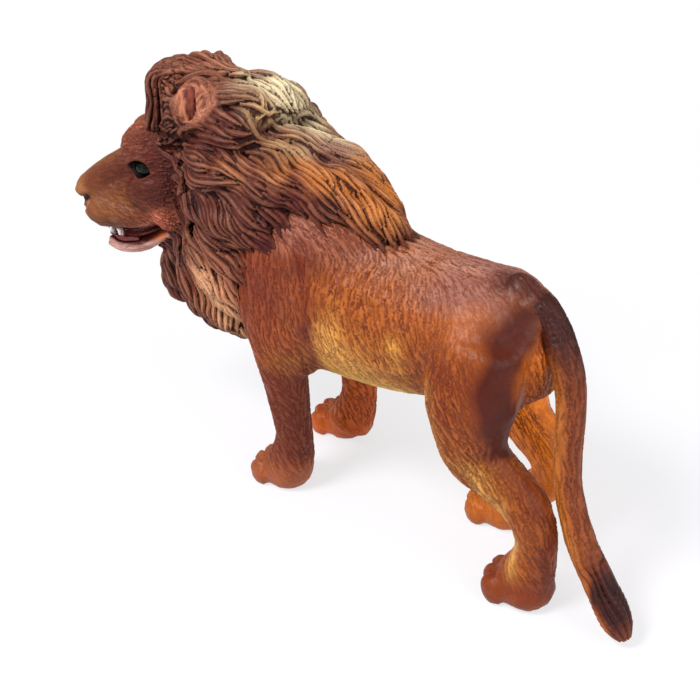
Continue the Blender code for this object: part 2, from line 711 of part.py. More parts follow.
def lock_rings(surface, start, face, proud):
    """Rings of one lock laid along a surface: sunk at its root, proud and pointed at its tip."""
    rings = []
    point, normal, _, _ = surface.find_nearest(start)
    for i in range(LOCK_ROWS):
        share = i / (LOCK_ROWS - 1)
        heading = mane_flow(point, normal, face)
        full = max(0.12, math.sin(math.pi * (0.12 + 0.84 * share)) ** 0.7)
        lift = LOCK_ROOT_SHARE + (LOCK_TIP_SHARE - LOCK_ROOT_SHARE) * share**0.8 + proud * share
        across = heading.cross(normal) * full * LOCK_WIDTH / 2
        rings.append((point + normal * LOCK_DEPTH * lift, across, normal * full * LOCK_DEPTH / 2))
        point, normal, _, _ = surface.find_nearest(point + heading * LOCK_LENGTH / (LOCK_ROWS - 1))
    return rings


def scattered(form, spacing):
    """Places spread evenly over a form's surface, at least so far apart."""
    places = [face.center.copy() for face in form.data.polygons]
    random.Random(3).shuffle(places)
    chosen = []
    for place in places:
        if all((place - other).length > spacing for other in chosen):
            chosen.append(place)
    return chosen


def hair_mass():
    bm = bmesh.new()
    add_sweep(bm, MANE_SHARES, BODY, MANE_WIDTH, MANE_HEIGHT)
    for row in CHEST_SHARES:
        add_mass(bm, row, BODY)
    for row in RUFF_SHARES:
        add_mass(bm, row, HEAD, HEAD_PLACE)
    return melted(form_of("hair_mass", bm), MANE_STEP, 8, 1.0)


def mane_form():
    """The mass of the hair with locks laid over it, the forelock and the ears."""
    mass = hair_mass()
    surface = BVHTree.FromObject(mass, bpy.context.evaluated_depsgraph_get())
    face = HEAD_PLACE @ scaled((0, -0.25, 0), HEAD)
    ears = [HEAD_PLACE @ scaled(row[:3], HEAD) for row in (*EAR_SHARES, *mirrored_masses(EAR_SHARES))]
    chance = random.Random(5)
    bm = bmesh.new()
    bm.from_mesh(mass.data)
    for start in scattered(mass, LOCK_SPACING):
        if any((start - ear).length < EAR_ROOM for ear in ears):
            continue
        proud = chance.uniform(-LOCK_PROUD_SHARE, LOCK_PROUD_SHARE)
        lock = bmesh.new()
        add_tube(lock, lock_rings(surface, start, face, proud), sides=12)
        mesh = bpy.data.meshes.new("lock")
        lock.to_mesh(mesh)
        lock.free()
        bm.from_mesh(mesh)
        bpy.data.meshes.remove(mesh)
    for across in FORELOCK_STEP_SHARES:
        rows = [(x + across, *rest) for x, *rest in FORELOCK_SHARES]
        add_sweep(bm, rows, HEAD, HEAD_WIDTH, HEAD_LENGTH, place=HEAD_PLACE)
    for row in (*EAR_SHARES, *mirrored_masses(EAR_SHARES)):
        add_mass(bm, row, HEAD, HEAD_PLACE)
    return melted(form_of("mane_form", bm), LOCK_STEP, 1, MANE_KEPT_SHARE)


def make_mane(form, skull, jaw, head):
    """The mane as a collar, with room inside for the neck and in front for the head, and a key for the head."""
    mane = piece_of(mane_form(), "mane")
    neck = melted(as_cutter("neck_form", form.data.copy()), MANE_STEP, 4, SEAT_KEPT_SHARE)
    combined(mane, seat_of(neck, COLLAR_GAP), "DIFFERENCE")
    combined(mane, seat_of(skull, JAW_GAP), "DIFFERENCE")
    combined(mane, seat_of(jaw, JAW_GAP), "DIFFERENCE")
    hollows = (*EAR_HOLLOW_SHARES, *mirrored_masses(EAR_HOLLOW_SHARES))
    combined(mane, masses("ear_hollows", hollows, HEAD, HEAD_PLACE), "DIFFERENCE")
    start = HEAD_PLACE @ scaled(HEAD_PEG_SHARES, HEAD)
    rearward = HEAD_PLACE.to_3x3() @ Vector((0, 1, 0))
    pegged(head, mane, start, rearward, HEAD_PEG_WIDTH, HEAD_PEG_LENGTH)
    drop_crumbs(mane)


# Painting and standing the figure


def painted(obj, colour, roughness):
    material = bpy.data.materials.new(obj.name + "_paint")
    material.use_nodes = True
    shader = material.node_tree.nodes["Principled BSDF"]
    shader.inputs["Base Color"].default_value = (*colour, 1)
    shader.inputs["Roughness"].default_value = roughness
    shader.inputs["Metallic"].default_value = 0
    obj.data.materials.clear()
    obj.data.materials.append(material)
    obj.data.shade_smooth()
    obj.data.set_sharp_from_angle(angle=SHARP_ANGLE)


def hung(obj, origin, base):
    """Gives the piece its own origin, at the place where it is glued on, and hangs it on the base."""
    obj.data.transform(Matrix.Translation(-origin))
    obj.location = origin
    obj.parent = base


def stand_figure():
    """Paints the pieces and hangs them all on one empty, which puts the origin on the floor below them."""
    pieces = list(bpy.data.collections["lion"].objects)
    corners = [vert.co for obj in pieces for vert in obj.data.vertices]
    low = [min(corner[axis] for corner in corners) for axis in range(3)]
    high = [max(corner[axis] for corner in corners) for axis in range(3)]
    base = bpy.data.objects.new("lion_on_floor", None)
    bpy.data.collections["lion"].objects.link(base)
    base.location = (-(low[0] + high[0]) / 2, -(low[1] + high[1]) / 2, -low[2])
    for obj in pieces:
        colour, roughness, frame, shares = PAINT[obj.name]
        painted(obj, colour, roughness)
        origin = HEAD_PLACE @ scaled(shares, HEAD) if frame == "head" else scaled(shares, BODY)
        hung(obj, origin, base)


def main():
    for obj in list(bpy.data.objects):
        bpy.data.objects.remove(obj)
    for name in ("lion", "cutters"):
        collection = bpy.data.collections.new(name)
        bpy.context.scene.collection.children.link(collection)
    body = body_form()
    torso = piece_of(body, "torso")
    make_legs(body, torso)
    make_tail(torso)
    skull = skull_form()
    jaw = jaw_form()
    head = make_head(skull, jaw)
    make_mane(body, skull, jaw, head)
    stand_figure()


main()
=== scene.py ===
import itertools
import math

import bmesh
import bpy
import numpy as np
from mathutils import Matrix, Vector, noise
from mathutils.bvhtree import BVHTree
from mathutils.kdtree import KDTree


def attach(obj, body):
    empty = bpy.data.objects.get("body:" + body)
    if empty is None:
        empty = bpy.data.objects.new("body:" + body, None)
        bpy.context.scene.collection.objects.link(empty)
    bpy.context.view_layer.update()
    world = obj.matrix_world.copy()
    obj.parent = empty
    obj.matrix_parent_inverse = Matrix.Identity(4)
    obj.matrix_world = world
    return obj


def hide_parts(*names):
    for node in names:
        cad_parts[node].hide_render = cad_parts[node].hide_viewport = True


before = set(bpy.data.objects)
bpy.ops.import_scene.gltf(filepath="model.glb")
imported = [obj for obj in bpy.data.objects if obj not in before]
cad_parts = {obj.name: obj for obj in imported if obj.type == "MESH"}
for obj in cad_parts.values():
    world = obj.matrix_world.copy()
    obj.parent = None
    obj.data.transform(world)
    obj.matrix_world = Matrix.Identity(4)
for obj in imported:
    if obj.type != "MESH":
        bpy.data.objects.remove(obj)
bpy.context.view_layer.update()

# COAT: BARREL AND LEGS
# The barrel and the four legs are mouldings of soft plastic, glued into flat sockets and painted over the
# seams, so that the coat runs on from one to the next, with short strokes of fur engraved in it. All five
# are made as one skin over the solids, engraved and painted, and then parted again along the flat seams.
MM = 0.001
COAT_STEP = 0.31
GLUE_GAP = 0.3
BODY_MIDDLE = -1.8
GLOSS_LIFT = 0.020
SHARP_EDGE = math.radians(62)


def placed(name, data):
    """Puts an object with this mesh, curve, lamp or camera in the scene."""
    obj = bpy.data.objects.new(name, data)
    bpy.context.scene.collection.objects.link(obj)
    return obj


def modelled(name, bm):
    """Puts an object with the shape of a bmesh in the scene."""
    mesh = bpy.data.meshes.new(name)
    bm.to_mesh(mesh)
    bm.free()
    return placed(name, mesh)


def copied_nodes(name, *nodes):
    """One object made of copies of solids, their doubled corners merged."""
    bm = bmesh.new()
    for node in nodes:
        bm.from_mesh(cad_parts[node].data)
    bmesh.ops.remove_doubles(bm, verts=bm.verts, dist=1e-6)
    return modelled(name, bm)


def settled(obj):
    """Keeps what the modifiers make of the object as its own mesh."""
    bpy.context.view_layer.update()
    graph = bpy.context.evaluated_depsgraph_get()
    mesh = bpy.data.meshes.new_from_object(obj.evaluated_get(graph))
    obj.modifiers.clear()
    obj.data = mesh
    return obj


def swollen(obj, by):
    swell = obj.modifiers.new("Swell", "DISPLACE")
    swell.strength = by * MM
    swell.mid_level = 0


def softened(obj, passes):
    soften = obj.modifiers.new("Soften", "SMOOTH")
    soften.iterations = passes


def melted(obj, step):
    melt = obj.modifiers.new("Melt", "REMESH")
    melt.mode = "VOXEL"
    melt.voxel_size = step * MM


def cut_by(obj, other, operation="DIFFERENCE"):
    """Cuts one closed skin with another, and takes the cutter out of the scene."""
    cut = obj.modifiers.new("Cut", "BOOLEAN")
    cut.operation = operation
    cut.solver = "MANIFOLD"
    cut.object = other
    settled(obj)
    bpy.data.objects.remove(other)
    return obj


def read(items, name, width=1, kind=np.float32):
    """One value, or a row of values, for each corner, edge or face of a mesh."""
    values = np.empty(len(items) * width, kind)
    items.foreach_get(name, values)
    return values.reshape(-1, width) if width > 1 else values


def points_of(obj):
    """The corners of a mesh in millimetres, and the way each faces."""
    points, facing = read(obj.data.vertices, "co", 3), read(obj.data.vertex_normals, "vector", 3)
    return points.astype(float) / MM, facing.astype(float)


def put_points(obj, points):
    obj.data.vertices.foreach_set("co", (points * MM).astype(np.float32).ravel())
    obj.data.update()


def raised(obj, points, facing, by):
    """Lifts each corner out of the surface by its own height in millimetres, and gives the new corners."""
    put_points(obj, points + facing * by[:, None])
    return points_of(obj)


def unit(rows):
    return rows / np.maximum(np.linalg.norm(rows, axis=-1, keepdims=True), 1e-9)


def lying(direction, facing):
    """The part of a direction that lies in the surface."""
    return unit(direction - facing * (direction * facing).sum(-1, keepdims=True))


def folded(points, middle):
    """The points with the right side laid over the left."""
    return np.abs(points * (1, 0, 0) - (middle, 0, 0)) * (1, 0, 0) + points * (0, 1, 1)


def ramp(values, start, over):
    """0 up to the start, and rising to 1 over a stretch, or falling to it where the stretch is below 0."""
    return np.clip((values - start) / over, 0, 1)


def dab(points, centre, radii):
    """1 in the middle of an egg-shaped dab, fading to 0 round it."""
    away = (points - np.array(centre)) / np.array(radii)
    return np.exp(-(away**2).sum(-1) ** 1.25)


def smooth_path(path, steps=8):
    """A finer path on a smooth curve through the given places."""
    rows = np.array(path, float)
    fine = []
    for i in range(len(rows) - 1):
        before, after = rows[max(i - 1, 0)], rows[min(i + 2, len(rows) - 1)]
        for t in np.arange(steps) / steps:
            bend = (2 * before - 5 * rows[i] + 4 * rows[i + 1] - after) * t**2
            turn = (3 * rows[i] - before - 3 * rows[i + 1] + after) * t**3
            fine.append(0.5 * (2 * rows[i] + (rows[i + 1] - before) * t + bend + turn))
    return np.array(fine + [rows[-1]])


def along(points, path, width):
    """1 on a path, fading to 0 beside it."""
    nearest = np.full(len(points), 1e9)
    for place in smooth_path(path):
        nearest = np.minimum(nearest, ((points - place) ** 2).sum(-1))
    return np.exp(-nearest / width**2)


def touched(points, place, size):
    """A dab round one place, or a stroke along a list of places."""
    return along(points, place, size) if isinstance(place, list) else dab(points, place, size)


def formed(press, points, *forms):
    """Adds forms to the heights of a surface: a height each, below 0 for a dent, with a place and a size."""
    for height, place, size in forms:
        press = press + height * touched(points, place, size)
    return press


def wavy(points, size, seed):
    """Slow random variation over the points, from about -1 to 1."""
    shift = Vector((seed * 17.3, seed * 5.1, seed * 9.7))
    return np.array([noise.noise(Vector(p) / size + shift) for p in points]) * 1.6


def wandering(points, size, seed):
    """A slow random shift for each point, so that the edge of a wash isn't a drawn line."""
    return np.stack([wavy(points, size, seed + way) for way in range(3)], -1)


def tree_of(samples):
    tree = KDTree(len(samples))
    for i, sample in enumerate(samples):
        tree.insert(sample, i)
    tree.balance()
    return tree


def nearest_of(samples, points):
    tree = tree_of(samples)
    return np.array([tree.find(point)[1] for point in points])


def spread_over(points, spacing, rng):
    """About one point in each cell of a grid, so that the places are spread evenly."""
    order = rng.permutation(len(points))
    cells = np.floor((points[order] + rng.uniform(0, spacing, 3)) / spacing).astype(np.int64)
    keys = cells[:, 0] * 1_000_003 + cells[:, 1] * 1_009 + cells[:, 2]
    return order[np.unique(keys, return_index=True)[1]]


def fur_strokes(points, facing, lie, spacing, length, width, seed):
    """How deep each point lies in a stroke of engraved fur, from 0 to 1. Strokes follow its lie."""
    rng = np.random.default_rng(seed)
    roots = spread_over(points, spacing, rng)
    ahead = lying(lie[roots], facing[roots])
    beside = np.cross(facing[roots], ahead)
    ahead = unit(ahead + beside * rng.normal(0, 0.13, (len(roots), 1)))
    reach = length * rng.uniform(0.55, 1.25, (len(roots), 1))
    bend = rng.normal(0, 0.07, (len(roots), 1)) * reach
    marks, ways, widths = [], [], []
    for share in np.linspace(-0.5, 0.5, 6):
        marks.append(points[roots] + ahead * reach * share + beside * bend * (4 * share**2 - 0.5))
        ways.append(unit(ahead + beside * bend * 8 * share / reach))
        full = math.cos(math.pi * share * 0.86) ** 0.6
        widths.append(width * full * rng.uniform(0.7, 1.2, len(roots)))
    marks, ways, widths = np.concatenate(marks), np.concatenate(ways), np.concatenate(widths)
    near = nearest_of(marks, points)
    away = points - marks[near]
    run = (away * ways[near]).sum(-1)
    across = np.sqrt(np.maximum((away**2).sum(-1) - run**2, 0))
    past = np.maximum(np.abs(run) - length / 8, 0)
    reached = np.sqrt(across**2 + past**2) / widths[near]
    return np.clip(1.15 - reached**2, 0, 1)


def srgb(*values):
    """A colour as it looks on a screen, from 0 to 255, made linear."""
    shares = np.array(values, float) / 255
    return np.where(shares <= 0.04045, shares / 12.92, ((shares + 0.055) / 1.055) ** 2.4)


def base_coat(points, colour):
    return np.tile(srgb(*colour), (len(points), 1))


def washed(paint, colour, amount):
    """Lays a wash of one colour over the paint, by an amount for each point."""
    amount = np.clip(amount, 0, 1)[:, None]
    return paint * (1 - amount) + srgb(*colour) * amount


def brushed(paint, points, *strokes):
    """Lays washes over the paint in turn: each a colour and its strength, with its place and size."""
    for colour, strength, place, size in strokes:
        paint = washed(paint, colour, strength * touched(points, place, size))
    return paint


def stored(obj, name, values):
    """Keeps a number or a colour for each corner of the mesh, for its material to read."""
    if values.ndim == 1:
        layer = obj.data.attributes.new(name, "FLOAT", "POINT")
        layer.data.foreach_set("value", values.astype(np.float32))
    else:
        layer = obj.data.attributes.new(name, "FLOAT_COLOR", "POINT")
        layer.data.foreach_set("color", np.c_[values, np.ones(len(values))].astype(np.float32).ravel())


coat = copied_nodes("coat", "torso", "front_left_leg", "front_right_leg", "hind_left_leg", "hind_right_leg")
swelling = bmesh.new()
swelling.from_mesh(coat.data)
for *middle, radius in ((-1.8, 37.0, 61.0, 3.5), (-1.7, 39.4, 59.8, 3.4), (-1.6, 41.6, 58.3, 3.2)):
    ball = bmesh.ops.create_icosphere(swelling, subdivisions=3, radius=radius * MM)["verts"]
    bmesh.ops.translate(swelling, verts=ball, vec=Vector(middle) * MM)
swelling.to_mesh(coat.data)
swelling.free()
swollen(coat, GLUE_GAP * 0.9)
melted(coat, COAT_STEP)
softened(coat, 9)
swollen(coat, -GLUE_GAP * 0.75)
settled(coat)
points, facing = points_of(coat)

# The ledge over each hip is rubbed away
left = folded(points, BODY_MIDDLE)
rubbed = dab(left, (12, 37, 55), (9, 12, 7.5))
hip = coat.vertex_groups.new(name="hip")
for share in (0.2, 0.4, 0.6, 0.8):
    hip.add(np.flatnonzero(rubbed > share).tolist(), share, "REPLACE")
softened(coat, 320)
coat.modifiers["Soften"].vertex_group = hip.name
settled(coat)
coat.vertex_groups.clear()
points, facing = points_of(coat)

# Muscles and creases: the shoulder's rear edge, the flank's fold, the thigh, the ribs and the wrists
left = folded(points, BODY_MIDDLE)
press = formed(
    0,
    left,
    (-0.9, [
        (15, -3.5, 66), (17, -3.2, 58), (17.5, -3.0, 50), (16.5, -4.5, 42), (14, -6, 36)
    ], 1.5),
    (0.5, [(15, -7.5, 62), (17, -7.0, 52), (16, -9, 42)], 2.6),
    (-0.5, [(15, 22, 40), (14, 24, 47), (12, 27, 53)], 1.8),
    (0.35, [(15.5, 28, 46), (15.6, 30, 38), (15.2, 33, 33)], 2.6),
    (-0.55, [(15.0, 36.5, 40), (14.4, 37, 34), (13.6, 41, 28.5), (12.6, 45.5, 24)], 1.3),
)
for rib in range(5):
    y = 2.0 + 4.2 * rib
    press += 0.16 * along(left, [(15.5, y - 1.2, 60), (16.2, y, 52), (14.5, y + 2.4, 44)], 1.3)
press -= 0.3 * along(left, [(12.5, -17, 24), (12.2, -16.5, 15)], 1.2)
press += 0.7 * along(points, [(-1.8, 32, 63.8), (-1.8, 35, 64)], 2.6)
points, facing = raised(coat, points, facing, press)

# The lie of the fur: back along the spine, down the flanks, and aslant towards the rear lower down
drift = wavy(points, 9, 1)
lie = np.zeros_like(points)
lie[:, 1] = 0.22 + 0.5 * ramp(points[:, 2], 48, -12) + 0.3 * drift
lie[:, 2] = -1.0
spine = ramp(points[:, 2], 62, 6)
lie[:, 1] += 1.6 * spine
haunch = dab(points, (10, 33, 40), (14, 15, 17)) + dab(points, (-12, 28, 40), (12, 15, 17))
lie[:, 1] += 0.35 * np.clip(haunch, 0, 1)
strokes = fur_strokes(points, facing, lie, 1.5, 2.6, 0.23, 4)
strokes = np.maximum(strokes, 0.8 * fur_strokes(points, facing, lie, 2.1, 4.4, 0.20, 5))
streaks = fur_strokes(points, facing, lie, 1.7, 6.0, 0.30, 6)
streaks *= np.clip(dab(left, (15, 30, 43), (9, 10, 13)) + dab(left, (13, 38, 31), (6, 8, 8)), 0, 1)
strokes = np.maximum(strokes, streaks)


def rear_of_thigh(points, facing):
    """1 on the bare, dark back of each thigh, down to the hock, and 0 before it and under the tail."""
    side = np.abs(points[:, 0] - BODY_MIDDLE)
    path = [(4.4, 41.4, 58.6), (7.0, 40, 56.2), (9.8, 40.4, 52.0), (12.4, 41.2, 47.5), (12.8, 42.4, 42)]
    flank = np.clip(1.5 * along(points, path, 5.0) - 0.16, 0, 1)
    behind = ramp(facing[:, 1], 0.5, 0.35) * (points[:, 1] > 20) * ramp(side, 5.6, 2.4)
    behind *= ramp(points[:, 2], 24, 5) * ramp(points[:, 2], 52, -8)
    return np.maximum(flank, behind)


# The rump, the back of the thighs, the wrists and the paws are smoother
smooth = np.clip(
    0.95 * rear_of_thigh(points, facing)
    + 0.6 * dab(left, (9, 33, 58), (9, 7, 6))
    + 0.7 * dab(left, (8, 43, 14), (8, 8, 12))
    + 0.8 * ramp(points[:, 2], 9, -5),
    0,
    0.92,
)
cut = strokes * (1 - smooth)
grain = wavy(points, 1.1, 2) * 0.05
points = points + facing * (0.05 - 0.26 * cut + grain)[:, None]

# Gaps between the toes, and a round knuckle over each
PAWS = ((8.69, -20.03), (-14.31, -22.23), (8.44, 44.97), (-9.31, 28.27))
for x, y in PAWS:
    paw = points - np.array((x, y, 0))
    press = np.zeros(len(points))
    for gap in (-3.0, 0.0, 3.0):
        set_back = abs(gap) * 0.3
        path = [(gap, y + set_back, z) for y, z in ((-8.4, 0.6), (-7.6, 3.4), (-5.8, 5.4))]
        press -= 0.75 * along(paw, path + [(gap * 0.9, -3.4, 6.2)], 0.55)
    for toe in (-4.5, -1.56, 1.56, 4.5):
        press += 0.30 * dab(paw, (toe, -6.6 + abs(toe) * 0.33, 4.2), (1.2, 1.7, 1.5))
    points = points + facing * press[:, None]
points[:, 2] = np.maximum(points[:, 2], 0)
put_points(coat, points)
points, facing = points_of(coat)

# The paint: an orange-brown coat, ochre below, mauve along the back, dark on the rump and thighs, and dark
# paint left in the engraved strokes. The dark on the back of each thigh is partly the toy's paint and partly
# painted shade on the side turned away from the light.
wobble = points + wandering(points, 6, 7) * 1.6
sided = folded(wobble, BODY_MIDDLE)
paint = base_coat(points, (158, 88, 38))
paint = brushed(
    paint,
    sided,
    ((204, 146, 76), 0.9, (13, 6, 41), (9, 11, 7)),
    ((210, 152, 80), 0.8, (15, 2.0, 45.5), (6, 4.5, 7)),
    ((222, 184, 90), 0.95 * ramp(wobble[:, 2], 43, -7), (6, 8, 32), (14, 22, 9)),
    ((208, 152, 74), 0.85, [(16, 18, 50), (15.5, 20, 42), (14, 21, 36)], 2.6),
)
paint = washed(paint, (182, 138, 124), 0.9 * ramp(wobble[:, 2], 60.5, 5))
paint = brushed(
    paint,
    sided,
    ((146, 98, 88), 0.9, (7, 30, 62), (10, 11, 5.5)),
    ((132, 74, 50), 0.95, (8, -1, 68), (12, 13, 9)),
    ((122, 62, 44), 0.95, (14, -17, 53), (11, 12.5, 19)),
    ((100, 40, 20), 0.9, [
        (14, -6, 66), (16, -4.5, 58), (16.5, -3.2, 50), (16, -5, 40), (13, -7, 34)
    ], 2.5),
)
foreleg = ramp(wobble[:, 2], 38, -5) * ramp(wobble[:, 1], -2, -3)
paint = washed(paint, (120, 62, 38), foreleg * (wobble[:, 0] > -1))
paint = washed(paint, (194, 98, 42), foreleg * (wobble[:, 0] <= -1))
paint = washed(paint, (104, 54, 36), 0.7 * foreleg * dab(wobble, (12, -13, 20), (6, 3.5, 14)))
paint = brushed(
    paint,
    sided,
    ((168, 94, 50), 0.8, (11.5, 30, 55), (6, 9, 6)),
    ((142, 74, 34), 0.8, (16, 32, 46), (6, 8, 12)),
    ((206, 142, 70), 0.75, [(16, 26, 46), (16.5, 28, 38), (16, 33, 32)], 2.4),
)
# Partly painted shade: the back of each thigh, turned away from the light, is darkened, partly as the toy's
# own dark paint
paint = washed(paint, (70, 28, 12), 0.93 * rear_of_thigh(points * 0.5 + wobble * 0.5, facing))
paint = brushed(
    paint,
    wobble,
    ((206, 114, 46), 0.85, (1.5, 44, 50.5), (5.5, 3.6, 6)),
    ((110, 54, 30), 0.85, [(12, 48, 31), (11, 52, 24), (10, 52, 16), (9.5, 51, 8)], 3.8),
    ((216, 160, 86), 0.85, [
        (15, 35, 32), (14.3, 40, 28), (13.3, 43.5, 24), (12.6, 44.5, 17), (12.4, 44, 11)
    ], 1.9),
    ((62, 32, 28), 0.95, [(-1.8, 36, 64), (-1.8, 40, 62.5), (-1.6, 44, 59)], 4.2),
)
inner = np.clip((wobble[:, 2] < 40) * dab(wobble, (-9, 34, 26), (9, 16, 24)), 0, 1)
paint = washed(paint, (240, 136, 48), 0.95 * inner * (wobble[:, 0] < -1))
paws = ramp(wobble[:, 2], 11, -4) * (wobble[:, 0] > -1)
paint = washed(paint, (160, 92, 58), 0.7 * paws * (wobble[:, 1] < 10))
paint = washed(paint, (118, 56, 30), 0.8 * paws * (wobble[:, 1] > 10))
mottle = wavy(points, 2.2, 11)
paint = paint * (1 + 0.10 * mottle)[:, None]
paint = washed(paint, (82, 32, 14), (0.66 + 0.22 * mottle) * cut)
paint = washed(paint, (74, 28, 14), 0.45 * streaks * (1 - smooth))

# Each moulding is what lies inside its flat seams: front, back, seam, step, top and inner side
SEAMS = {
    "front_left_leg": (1, -39.2, -2.2, 5.7, 33.5, 63.0, -0.8),
    "front_right_leg": (-1, -39.2, -2.2, 9.3, 33.5, 63.0, 2.8),
    "hind_left_leg": (1, 17.3, 67.0, 4.7, 38.5, 56.5, -0.8),
    "hind_right_leg": (-1, 17.3, 67.0, 8.3, 38.5, 56.5, 2.8),
}


def leg_room(name, side, front, back, seam, step, top, inner):
    outline = ((seam, top), (40, top), (40, -20), (inner, -20), (inner, step), (seam, step))
    bm = bmesh.new()
    face = bm.faces.new([bm.verts.new((side * x * MM, front * MM, z * MM)) for x, z in outline])
    made = bmesh.ops.extrude_face_region(bm, geom=[face])["geom"]
    moved = [item for item in made if isinstance(item, bmesh.types.BMVert)]
    bmesh.ops.translate(bm, verts=moved, vec=(0, (back - front) * MM, 0))
    bmesh.ops.recalc_face_normals(bm, faces=bm.faces)
    return modelled(name, bm)


def fed(node, inputs):
    """Gives each input of a shader node its value, or links it to the output that feeds it."""
    for name, value in inputs.items():
        if isinstance(value, bpy.types.NodeSocket):
            node.id_data.links.new(value, node.inputs[name])
        else:
            node.inputs[name].default_value = value
    return node


def shader_node(tree, kind, inputs, **settings):
    node = tree.nodes.new("ShaderNode" + kind)
    for name, value in settings.items():
        setattr(node, name, value)
    return fed(node, inputs)


def tinted(tree, colour, shade):
    """A colour made darker or lighter by a shade."""
    tint = shader_node(tree, "Mix", {}, data_type="RGBA", blend_type="MULTIPLY")
    return fed(tint, {"Factor": 1, "A": colour, "B": shade}).outputs["Result"]


def paint_material(name, rough, gloss, grain_size, relief, hairs=0):
    """Satin paint on plastic: its colours come from the mesh, with fine grain, and it is duller in the
    grooves than on the worn crests. Hairs draws that many fine lines across each strand."""
    material = bpy.data.materials.new(name)
    material.use_nodes = True
    tree = material.node_tree
    colour = shader_node(tree, "Attribute", {}, attribute_name="paint").outputs["Color"]
    depth = shader_node(tree, "Attribute", {}, attribute_name="groove").outputs["Fac"]
    where = shader_node(tree, "TexCoord", {}).outputs["Object"]
    grain = {"Vector": where, "Scale": 1 / (grain_size * MM), "Detail": 4}
    speckle = shader_node(tree, "TexNoise", grain).outputs["Fac"]
    patches = {"Vector": where, "Scale": 1 / (5 * MM), "Detail": 3}
    blotch = shader_node(tree, "TexNoise", patches).outputs["Fac"]
    shade = {"Value": speckle, "From Min": 0.3, "From Max": 0.7, "To Min": 0.84, "To Max": 1.14}
    colour = tinted(tree, colour, shader_node(tree, "MapRange", shade).outputs["Result"])
    worn = shader_node(tree, "Math", {0: depth, 1: blotch}, operation="ADD").outputs[0]
    dull = {"Value": worn, "To Min": rough - 0.06, "To Max": rough + 0.10}
    dull = shader_node(tree, "MapRange", dull).outputs["Result"]
    bump = {"Height": speckle, "Strength": relief, "Distance": 0.1 * MM}
    normal = shader_node(tree, "Bump", bump).outputs["Normal"]
    if hairs:
        across = shader_node(tree, "Attribute", {}, attribute_name="across").outputs["Fac"]
        turn = {0: across, 1: math.tau * hairs, 2: blotch}
        turn = shader_node(tree, "Math", turn, operation="MULTIPLY_ADD").outputs[0]
        line = shader_node(tree, "Math", {0: turn}, operation="COSINE").outputs[0]
        fine = {"Height": line, "Normal": normal, "Strength": 0.9, "Distance": 0.055 * MM}
        normal = shader_node(tree, "Bump", fine).outputs["Normal"]
        dark = {"Value": line, "From Min": -1, "To Min": 0.74, "To Max": 1.10}
        colour = tinted(tree, colour, shader_node(tree, "MapRange", dark).outputs["Result"])
    plastic = {"Base Color": colour, "Roughness": dull, "Specular IOR Level": gloss, "Normal": normal}
    fed(tree.nodes["Principled BSDF"], plastic)
    return material


def creased_seams(obj):
    """Keeps the light running on over the flat seams between mouldings, by a crease round each flat."""
    mesh = obj.data
    (x, _, z), (across, _, up) = (read(mesh.polygons, name, 3).T for name in ("center", "normal"))
    x, z, across, up = x / MM, z / MM, np.abs(across), np.abs(up)
    flat = np.zeros(len(mesh.polygons), bool)
    for side, _, _, seam, step, top, inner in SEAMS.values():
        flat |= (up > 0.999) & (np.minimum(np.abs(z - top), np.abs(z - step)) < 0.01)
        flat |= (across > 0.999) & (np.minimum(np.abs(x - side * seam), np.abs(x - side * inner)) < 0.01)
    edges = read(mesh.loops, "edge_index", kind=np.int32)
    on_flat = np.repeat(flat, read(mesh.polygons, "loop_total", kind=np.int32))
    beside_flat = np.bincount(edges[on_flat], minlength=len(mesh.edges))
    sharp = read(mesh.edges, "use_edge_sharp", kind=bool)
    mesh.edges.foreach_set("use_edge_sharp", sharp | (beside_flat == 1))


def finished(obj, paint, groove, material, slot, *nodes):
    """Painted, smooth-shaded, riding with the figure, and standing for its solids."""
    stored(obj, "paint", 1.04 * paint - GLOSS_LIFT * (1 - np.exp(-paint / GLOSS_LIFT)))
    stored(obj, "groove", groove)
    obj.data.materials.clear()
    obj.data.materials.append(material)
    obj.data.shade_smooth()
    obj.data.set_sharp_from_angle(angle=SHARP_EDGE)
    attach(obj, "root")
    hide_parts(*nodes)


coat_tree = tree_of(points)
coat_paint = paint_material("coat_paint", 0.42, 0.24, 0.45, 0.5)
COAT_SLOTS = {
    "torso": "coat",
    "front_left_leg": "shoulder",
    "front_right_leg": "far_shoulder",
    "hind_left_leg": "haunch",
    "hind_right_leg": "far_haunch",
}
for name, slot in COAT_SLOTS.items():
    piece = placed(name + "_coat", coat.data.copy())
    if name == "torso":
        for leg, sizes in SEAMS.items():
            cut_by(piece, leg_room(leg + "_room", *sizes))
    else:
        cut_by(piece, leg_room(name + "_room", *SEAMS[name]), "INTERSECT")
    same = np.array([coat_tree.find(point)[1] for point in points_of(piece)[0]])
    finished(piece, paint[same], cut[same], coat_paint, slot, name)
    creased_seams(piece)
bpy.data.objects.remove(coat)

# TAIL
# The tail is a separate moulding, glued into the rump: short fur engraved down its length, and a tuft of
# long strands at its end that draw together to a point. Its root and its tuft are painted dark.
TAIL_STEP = 0.25
TIP_REST = 1.86


def skin_over(name, node, swell, step, passes):
    """A fine, even skin just outside a solid, with its edges rounded."""
    skin = copied_nodes(name, node)
    swollen(skin, swell)
    melted(skin, step)
    softened(skin, passes)
    return settled(skin)


